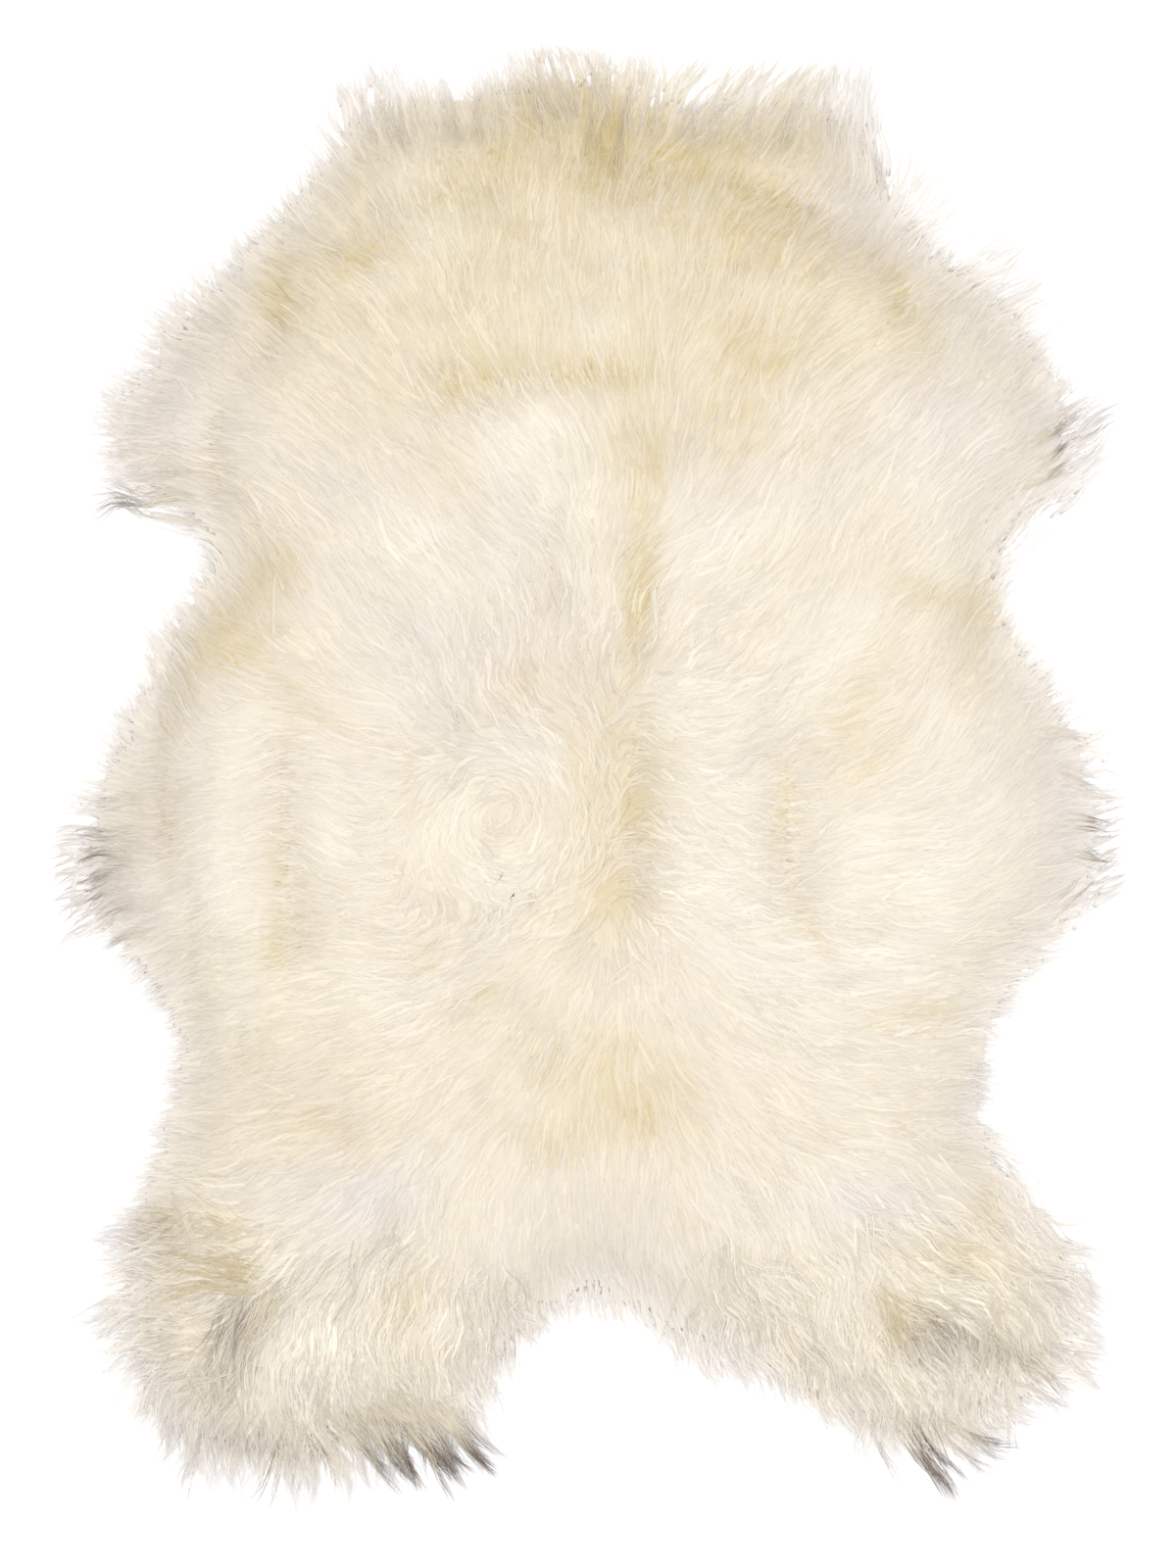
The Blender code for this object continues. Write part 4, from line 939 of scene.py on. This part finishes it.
def tuft_strands(field, tuft, rng):
    """One tuft's hairs: their points and their values at each point."""
    steps = np.linspace(0.0, 1.0, TUFT_HAIR.steps + 1)
    count = round(tuft.hairs * TUFT_FINENESS)
    point = rng.integers(0, TUFT_POINTS, count)
    aside = (rng.uniform(-1.0, 1.0, TUFT_POINTS) * tuft.half * MM)[point]
    offset = rng.uniform(-TUFT_SCATTER, TUFT_SCATTER, count) * tuft.half * MM
    back = rng.uniform(0.0, TUFT_ROOTS, count)
    length = tuft.length * MM * rng.uniform(*TUFT_POINT_LENGTHS, TUFT_POINTS)[point]
    length = length * rng.uniform(*TUFT_HAIR_LENGTHS, count) + back
    turn = tuft.bend + rng.normal(0.0, TUFT_TURNS[0], TUFT_POINTS)[point] + rng.normal(0.0, TUFT_TURNS[1], count)
    heading = math.radians(tuft.angle) + np.radians(turn)[:, None] * steps
    ahead = np.stack([np.cos(heading), np.sin(heading)], axis=-1)
    side = np.stack([-ahead[..., 1], ahead[..., 0]], axis=-1)
    stride = ahead * (length / TUFT_HAIR.steps)[:, None, None]
    centre = np.array([tuft.x, tuft.y]) * MM + np.cumsum(stride, axis=1) - stride[:, :1]
    spread = aside[:, None] * (1 - TUFT_POINTS_CLOSE * steps)
    spread = spread + offset[:, None] * (1 - TUFT_HAIRS_CLOSE * steps**TUFT_CLOSE_POWER)
    centre = centre + side[:, :1] * spread[..., None]
    run = steps[None] * length[:, None]
    phase = rng.uniform(0.0, 2 * math.pi) + rng.normal(0.0, TUFT_WAVE_SPREAD, (count, 1))
    swing = tuft.wave * MM * rng.uniform(*TUFT_SWINGS, (count, 1)) * np.minimum(1.0, TUFT_SWING_GROWTH * steps)
    centre = centre + side * (np.sin(2 * math.pi * run / TUFT_WAVE_LENGTH + phase) * swing)[..., None]
    centre = centre - ahead[:, :1] * back[:, None, None]
    rank = rng.uniform(0.0, 1.0, count)
    lift = ranked(TUFT_HAIR.lift_low, TUFT_HAIR.lift_high, rank) * MM
    lines = laid(field, centre, lift, np.clip(steps / TUFT_HAIR.rise, 0.0, 1.0), rank)
    half = ranked(TUFT_HAIR.half_low, TUFT_HAIR.half_high, rank) * MM
    along = np.broadcast_to(steps[None], lines.shape[:2])
    own = np.clip(TUFT_HAIR.tone + rng.normal(0.0, TUFT_TONE_SPREAD, len(rank)), 0.0, TUFT_TONE_MOST)
    starts = tuft.dark_from + rng.normal(0.0, TUFT_DARK_SPREAD, (count, 1))
    dark = tuft.dark * np.clip((along - starts) / TUFT_DARK_OVER, 0.0, 1.0)
    light = 1 - tuft.dark
    # painted light and shade: at the edge and at the points past it, where a hair is not dark, and a painted
    # highlight over all the hairs
    values = {
        "along": along,
        "tone": np.broadcast_to(own[:, None], along.shape),
        "yellow": np.full(along.shape, tuft.yellow) * rng.uniform(*TUFT_YELLOWS, (count, 1)),
        "grey": np.zeros(along.shape),
        "edge": light * EDGE_LIGHT_SHADE * field.at_edge(lines),
        "fade": light * field.faded(lines),
        "dark": dark * rng.uniform(*TUFT_DARKS, (count, 1)),
        "pale": np.full(along.shape, TUFT_HIGHLIGHT),
    }
    return with_rings(TUFT_HAIR, lines, half, run, values)


# ---- Materials --------------------
class Nodes:
    """Makes and links the nodes of one tree."""

    def __init__(self, tree):
        self.tree = tree

    def put(self, value, socket):
        """Links this value to a socket, or sets it there."""
        if isinstance(value, bpy.types.NodeSocket):
            self.tree.links.new(value, socket)
        else:
            socket.default_value = value

    def fill(self, node, inputs):
        for key, value in inputs.items():
            self.put(value, node.inputs[key])

    def add(self, kind, inputs=None, **settings):
        node = self.tree.nodes.new("ShaderNode" + kind)
        for key, value in settings.items():
            setattr(node, key, value)
        self.fill(node, inputs or {})
        return node

    def math(self, operation, a, b=0.0, clamp=False):
        return self.add("Math", {0: a, 1: b}, operation=operation, use_clamp=clamp).outputs[0]

    def scaled(self, value, by, plus, clamp=False):
        return self.math("ADD", self.math("MULTIPLY", value, by), plus, clamp)

    def stretched(self, value, start, gain):
        """The value from start on, drawn out and kept from 0 to 1."""
        return self.math("MULTIPLY", self.math("SUBTRACT", value, start), gain, clamp=True)

    def mix(self, share, a, b, blend_type="MIX"):
        node = self.add("Mix", data_type="RGBA", blend_type=blend_type)
        for key, value in zip(("Factor", "A", "B"), (share, a, b), strict=True):
            self.put(value, next(s for s in node.inputs if s.name == key and s.enabled))
        return next(s for s in node.outputs if s.enabled)

    def vector(self, operation, a, b):
        return self.add("VectorMath", {0: a, 1: b}, operation=operation).outputs

    def attribute(self, name, output="Fac"):
        return self.add("Attribute", attribute_name=name).outputs[output]

    def place(self):
        return self.add("TexCoord").outputs["Object"]

    def noise(self, place, scale, detail, roughness):
        inputs = {"Vector": place, "Scale": scale, "Detail": detail, "Roughness": roughness}
        return self.add("TexNoise", inputs).outputs["Fac"]

    def bump(self, height, distance, strength):
        return self.add("Bump", {"Height": height, "Distance": distance, "Strength": strength}).outputs[0]


def colour(red, green, blue):
    """A colour from its sRGB values out of 255."""
    def linear(c):
        c /= 255
        return c / 12.92 if c <= 0.04045 else ((c + 0.055) / 1.055) ** 2.4
    return (linear(red), linear(green), linear(blue), 1.0)


CREAM = colour(226, 216, 197)
# painted shade: a deeper cream for the roots of the strands and for the undercoat, which lie under the locks
CREAM_ROOT_SHADE = colour(226, 214, 188)
# yellowed wool, and the painted warm shade of the creases
OLD_YELLOW_AND_SHADE = colour(204, 183, 127)
# greyer wool, and painted shade in the hollows and along the rim
MAUVE_GREY_SHADE = colour(218, 210, 206)
# painted light and shade at the edge of the wool
EDGE_LIGHT_SHADE_LILAC = colour(235, 229, 224)
# painted light: the points of the hairs past the edge, lit through against the white floor
RIM_PAINTED_LIGHT = colour(248, 246, 245)
DARK_BROWN = colour(80, 56, 50)
# milkier wool, and painted highlight
MILK_HIGHLIGHT = colour(235, 228, 213)
ROSE_CREAM = colour(226, 216, 202)
SUEDE = colour(216, 190, 152)
SUEDE_DARK = colour(186, 152, 112)
MASKS = ("yellow", "grey", "dark", "pale", "edge", "fade")
FIBRE_WIDTH = 1.7 * MM  # of the streaks that run along a wisp
FIBRE_RUN = 60.0 * MM
SMALL_LOCK = 14.0 * MM  # of the undercoat


def new_group(name, inputs, outputs):
    """An empty shader node group with float inputs, as (tree, Nodes, input node, output node)."""
    tree = bpy.data.node_groups.new(name, "ShaderNodeTree")
    for socket, default in inputs:
        made = tree.interface.new_socket(socket, in_out="INPUT", socket_type="NodeSocketFloat")
        made.default_value = default
    for socket, kind in outputs:
        tree.interface.new_socket(socket, in_out="OUTPUT", socket_type="NodeSocket" + kind)
    nodes = Nodes(tree)
    return tree, nodes, tree.nodes.new("NodeGroupInput"), tree.nodes.new("NodeGroupOutput")


def streak_group():
    """Fine fibres: light and dark streaks, narrow over Across and long over Along, both in metres."""
    tree, nodes, given, out = new_group("wool_streaks", [("Across", 0.0), ("Along", 0.0)], [("Streak", "Float")])
    across = nodes.math("DIVIDE", given.outputs["Across"], FIBRE_WIDTH)
    along = nodes.math("DIVIDE", given.outputs["Along"], FIBRE_RUN)
    place = nodes.add("CombineXYZ", {0: across, 1: along}).outputs[0]
    streak = nodes.noise(place, scale=1.0, detail=2.0, roughness=0.6)
    nodes.put(nodes.stretched(streak, start=0.28, gain=2.2), out.inputs["Streak"])
    return tree


def wool_colour_group():
    """Colour of the wool from its masks, among them painted light and shade, the same for strands and undercoat."""
    inputs = [(key.title(), 0.0) for key in MASKS] + [("Depth", 0.0), ("Tone", 0.5), ("Streak", 0.5)]
    tree, nodes, given, out = new_group("wool_colour", inputs, [("Color", "Color")])
    given = given.outputs
    place = nodes.place()
    mottle = nodes.noise(place, scale=60.0, detail=3.0, roughness=0.6)
    clouds = nodes.noise(place, scale=11.0, detail=3.0, roughness=0.6)
    base = nodes.mix(nodes.stretched(clouds, start=0.42, gain=5.0), CREAM, ROSE_CREAM)
    patchy = nodes.math("MULTIPLY", given["Yellow"], nodes.math("ADD", mottle, 0.5), clamp=True)
    streaky = nodes.math("SUBTRACT", 1.5, given["Streak"])
    dark = nodes.math("MULTIPLY", given["Dark"], streaky, clamp=True)
    # In turn over the cream: painted shade at the roots; milkier wool and painted highlight; yellowed wool and the
    # painted shade of creases; greyer wool and painted shade in hollows and along the rim; the painted light and
    # shade of the edge; painted light at the points past it; dark hairs.
    layers = (
        (given["Depth"], CREAM_ROOT_SHADE), (given["Pale"], MILK_HIGHLIGHT), (patchy, OLD_YELLOW_AND_SHADE), (given["Grey"], MAUVE_GREY_SHADE),
        (given["Edge"], EDGE_LIGHT_SHADE_LILAC), (given["Fade"], RIM_PAINTED_LIGHT), (dark, DARK_BROWN),
    )
    for share, over in layers:
        base = nodes.mix(share, base, over)
    light = nodes.scaled(given["Tone"], by=0.07, plus=0.82)
    light = nodes.math("ADD", light, nodes.math("MULTIPLY", given["Streak"], 0.22))
    shade = nodes.add("CombineColor", {0: light, 1: light, 2: light}).outputs[0]
    nodes.put(nodes.mix(1.0, base, shade, "MULTIPLY"), out.inputs["Color"])
    return tree


def new_material(name):
    material = bpy.data.materials.new(name)
    material.use_nodes = True
    tree = material.node_tree
    return material, Nodes(tree), tree.nodes["Principled BSDF"]


def fill_wool(nodes, shader, group, rough, **inputs):
    """What strands and undercoat share: the colour from the masks, a soft sheen and fine raised fibres."""
    inputs = {key.title(): value for key, value in inputs.items()}
    inputs |= {key.title(): nodes.attribute(key) for key in MASKS}
    shown = nodes.add("Group", inputs, node_tree=group).outputs["Color"]
    bump = nodes.bump(inputs["Streak"], distance=0.20 * MM, strength=0.35)
    nodes.fill(shader, {"Base Color": shown, "Roughness": rough, "Sheen Weight": 0.25, "Normal": bump})


def wool_material(group, streak_tree):
    """Cream wool on the strands: fine fibres run along each of them."""
    material, nodes, shader = new_material("long_wool")
    # painted shade: each strand turns to a deeper cream towards its root, where it lies under the locks
    depth = nodes.math("SUBTRACT", 0.45, nodes.math("MULTIPLY", nodes.attribute("along"), 1.6), clamp=True)
    fibre = nodes.add("SeparateXYZ", {0: nodes.attribute("fibre", "Vector")}).outputs
    streaks = nodes.add("Group", {"Across": fibre[0], "Along": fibre[1]}, node_tree=streak_tree)
    streak = streaks.outputs["Streak"]
    rough = nodes.scaled(streak, by=0.15, plus=0.42)
    fill_wool(nodes, shader, group, rough, depth=depth, tone=nodes.attribute("tone"), streak=streak)
    nodes.fill(shader, {"Specular IOR Level": 0.35, "Sheen Roughness": 0.45})
    return material


def undercoat_material(group, streak_tree):
    """The dense wool below the strands: small locks of fine fibres that follow the lie of the wool."""
    material, nodes, shader = new_material("undercoat_wool")
    flat = nodes.vector("MULTIPLY", nodes.place(), (1.0, 1.0, 0.0))[0]
    cell = nodes.add("TexVoronoi", {"Vector": flat, "Scale": 1 / SMALL_LOCK}, voronoi_dimensions="2D").outputs
    from_middle = nodes.vector("SUBTRACT", flat, cell["Position"])[0]
    lie = nodes.attribute("lie", "Vector")
    across_lie = nodes.add("VectorRotate", {"Vector": lie, "Angle": math.pi / 2}, rotation_type="Z_AXIS").outputs[0]
    own = nodes.add("SeparateColor", {0: cell["Color"]}).outputs[0]
    runs = {"Along": lie, "Across": across_lie}
    for key, way in runs.items():
        runs[key] = nodes.math("ADD", nodes.vector("DOT_PRODUCT", from_middle, way)["Value"], own)
    streak = nodes.add("Group", runs, node_tree=streak_tree).outputs["Streak"]
    # painted shade: all of the undercoat takes some of the deeper cream, as it lies under the strands
    fill_wool(nodes, shader, group, rough=0.6, depth=0.35, tone=own, streak=streak)
    return material


def suede_material():
    """The tanned skin side."""
    material, nodes, shader = new_material("tanned_suede")
    place = nodes.place()
    clouds = nodes.noise(place, scale=9.0, detail=6.0, roughness=0.62)
    nap = nodes.noise(place, scale=1400.0, detail=3.0, roughness=0.7)
    base = nodes.mix(nodes.scaled(clouds, by=1.6, plus=-0.45, clamp=True), SUEDE, SUEDE_DARK)
    base = nodes.mix(nodes.math("MULTIPLY", nap, 0.25), base, SUEDE)
    rough = nodes.scaled(nap, by=0.15, plus=0.78)
    bump = nodes.bump(nap, distance=0.3 * MM, strength=0.5)
    nodes.fill(shader, {"Base Color": base, "Roughness": rough, "Sheen Weight": 0.35, "Normal": bump})
    return material


# ---- The undercoat --------------------
UNDERCOAT_STEP = 5.6 * MM
UNDERCOAT_DEPTH = 0.1 * MM  # below the wool's surface, and more where the locks are loose
LOOSE_DEPTH = 0.4 * MM
UNDERCOAT_COVER = 0.60  # where it ends, and how unevenly
UNDERCOAT_RAGGED = 0.12
UNDERCOAT_RAGGED_SIZE = 11.0 * MM
UNDERCOAT_LEAST = 0.6 * MM  # thick
UNDERCOAT_DARK = 0.40  # of the strands' darkness
UNDERCOAT_TUFTS = 0.15 * MM
UNDERCOAT_TUFT_SIZE = 16.0 * MM
HIDE_CLEARANCE = 0.4 * MM
RIM_LEAST = 0.4 * MM  # over the floor
RIM_UNDERCUT = 16.0 * MM  # by which the underside draws in at most
UNDERCOAT_EDGE_ANGLE = 60.0
HIDE_TREE = BVHTree.FromObject(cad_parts["hide"], bpy.context.evaluated_depsgraph_get())


def over_hide(place):
    """Whether the hide lies below this place of the plane."""
    return HIDE_TREE.ray_cast(place.to_3d() + Vector((0, 0, 1)), Vector((0, 0, -1)))[0] is not None


def build_undercoat(field, surface):
    """A closed pad under the strands, with a flat underside that clears the hide."""
    low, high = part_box("fleece")
    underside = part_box("hide")[1].z + HIDE_CLEARANCE
    bm = bmesh.new()
    size = (high - low).to_2d()
    across, along = (round(side / UNDERCOAT_STEP) for side in size)
    bmesh.ops.create_grid(bm, x_segments=across, y_segments=along, size=0.5)
    middle = (low + high) / 2
    bmesh.ops.scale(bm, vec=(size.x, size.y, 1.0), verts=bm.verts)
    bmesh.ops.translate(bm, vec=(middle.x, middle.y, 0.0), verts=bm.verts)
    places = np.array([v.co for v in bm.verts])
    cover = field.read(field.dense, places) + UNDERCOAT_RAGGED * noise_over(places, UNDERCOAT_RAGGED_SIZE, "ragged")
    bare = [v for v, c in zip(bm.verts, cover, strict=True) if c < UNDERCOAT_COVER]
    bmesh.ops.delete(bm, geom=bare, context="VERTS")
    for v in [v for v in bm.verts if len(v.link_faces) == 0]:
        bm.verts.remove(v)
    places = np.array([v.co for v in bm.verts])
    tufts = noise_over(places, UNDERCOAT_TUFT_SIZE, "tufts") * UNDERCOAT_TUFTS * field.read(field.dense, places)
    depth = UNDERCOAT_DEPTH + LOOSE_DEPTH * patches_at(places, LOOSE)
    heights = field.read(field.height, places) - depth + tufts
    thick = underside + UNDERCOAT_LEAST
    inward = field.inward(places) * RIM_UNDERCUT
    for v, z, step in zip(bm.verts, heights, inward, strict=True):
        if z < thick and (over_hide(v.co.xy) or over_hide(v.co.xy + Vector(step))):
            z = thick
        v.co.z = max(z, RIM_LEAST)
    rim = [e for e in bm.edges if e.is_boundary]
    lower = bmesh.ops.extrude_edge_only(bm, edges=rim)["geom"]
    # past the hide the rim lies near the floor, and the underside draws in from it
    drawn = [g for g in lower if isinstance(g, bmesh.types.BMVert)]
    inward = field.inward(np.array([v.co for v in drawn])) * RIM_UNDERCUT
    for v, step in zip(drawn, inward, strict=True):
        v.co.xy += Vector(step) * min(max((thick - v.co.z) / underside, 0.0), 1.0)
        v.co.z = underside
    bmesh.ops.contextual_create(bm, geom=[g for g in lower if isinstance(g, bmesh.types.BMEdge)])
    bmesh.ops.recalc_face_normals(bm, faces=bm.faces)
    # the sides come in any order, so edges and faces are put in that of their vertices
    bm.verts.index_update()
    for parts in (bm.edges, bm.faces):
        for number, part in enumerate(sorted(parts, key=lambda part: sorted(v.index for v in part.verts))):
            part.index = number
        parts.sort()
    mesh = bpy.data.meshes.new("undercoat")
    bm.to_mesh(mesh)
    bm.free()
    mesh.shade_smooth()
    mesh.set_sharp_from_angle(angle=math.radians(UNDERCOAT_EDGE_ANGLE))
    spots = np.zeros(len(mesh.vertices) * 3, np.float32)
    mesh.vertices.foreach_get("co", spots)
    spots = spots.reshape(-1, 3).astype(float)
    # these masks carry painted light and shade as well as the wool's own colours, as on the strands
    masks = {"yellow": YELLOWED_AND_CREASE_SHADE, "grey": GREYED_AND_SHADED, "dark": DARK_HAIRS, "pale": PALE_AND_LIT}
    masks = {key: patches_at(spots, patches) for key, patches in masks.items()}
    masks["dark"] *= UNDERCOAT_DARK
    masks["edge"] = EDGE_LIGHT_SHADE * field.at_edge(spots) * (1 - patches_at(spots, RIM_KEPT))
    masks["fade"] = field.faded(spots)
    for key, mask in masks.items():
        mesh.attributes.new(key, "FLOAT", "POINT").data.foreach_set("value", mask.astype(np.float32))
    lie = np.zeros_like(spots)
    lie[:, :2] = turned(lie_of_wool(spots[:, :2]), WANDER * noise_over(spots, WANDER_SIZE, "wander"))
    mesh.attributes.new("lie", "FLOAT_VECTOR", "POINT").data.foreach_set("vector", lie.astype(np.float32).ravel())
    return placed("undercoat", mesh, surface)


# ---- Floor, light and camera --------------------
VIEW_CENTRE = Vector((-1.1, 7.4, 0.0)) * MM  # the point of the floor in the middle of the picture
VIEW_LENGTH = 1280.0 * MM  # of the floor, top to bottom of the picture
LENS = 85.0
SENSOR = 36.0
FLOOR_HALF = 6.0
FLOOR_WHITE = (0.98, 0.98, 0.98, 1.0)
FLOOR_DROP = 0.05 * MM  # of the floor below the rug, so that their faces don't meet
STUDIO_STRENGTH = 0.76
LAMP_PLACE = (0.2, -0.05, 2.9)
LAMP_SIZE = 1.6
LAMP_POWER = 46.0


def build_stage():
    """A plain white floor."""
    bm = bmesh.new()
    bmesh.ops.create_grid(bm, x_segments=1, y_segments=1, size=FLOOR_HALF)
    mesh = bpy.data.meshes.new("floor")
    bm.to_mesh(mesh)
    bm.free()
    material, nodes, shader = new_material("floor_white")
    floor = placed("floor", mesh, material)
    floor.location.z = -FLOOR_DROP
    nodes.fill(shader, {"Base Color": FLOOR_WHITE, "Roughness": 1.0, "Specular IOR Level": 0.0})


def build_light():
    """Even light from all round, and one large soft lamp over the rug."""
    world = bpy.data.worlds.new("studio")
    world.use_nodes = True
    background = world.node_tree.nodes["Background"]
    background.inputs["Color"].default_value = (1.0, 1.0, 1.0, 1.0)
    background.inputs["Strength"].default_value = STUDIO_STRENGTH
    bpy.context.scene.world = world
    light = bpy.data.lights.new("soft_top", "AREA")
    light.shape = "SQUARE"
    light.size = LAMP_SIZE
    light.energy = LAMP_POWER
    lamp = placed("soft_top", light)
    lamp.location = LAMP_PLACE
    lamp.rotation_euler = (-Vector(LAMP_PLACE)).to_track_quat("-Z", "Y").to_euler()


def build_camera():
    """Straight down, as the photograph is taken."""
    data = bpy.data.cameras.new("camera")
    data.lens = LENS
    data.sensor_width = SENSOR
    camera = placed("camera", data)
    distance = VIEW_LENGTH / 2 / (SENSOR / 2 / LENS)
    camera.location = VIEW_CENTRE + Vector((0, 0, distance))
    bpy.context.scene.camera = camera


# ---- Putting it together --------------------
bpy.context.scene.view_settings.view_transform = "Standard"
rng = np.random.default_rng(SEED)
wool_field = WoolField("fleece")
streak_tree = streak_group()
group = wool_colour_group()

undercoat = build_undercoat(wool_field, undercoat_material(group, streak_tree))
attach(undercoat, "root")
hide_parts("fleece")

long_wool = wool_material(group, streak_tree)
all_roots = lock_roots(wool_field, rng)
of_area = areas_of(all_roots)
for number, area in enumerate(AREAS):
    wool = wool_of(wool_field, area, all_roots[of_area == number], long_wool, rng)
    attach(wool, "root")

tufts = joined_strands("wool_tufts", [tuft_strands(wool_field, tuft, rng) for tuft in TUFTS], long_wool)
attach(tufts, "root")

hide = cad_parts["hide"]
hide.data.materials.clear()
hide.data.materials.append(suede_material())

build_stage()
build_light()
build_camera()
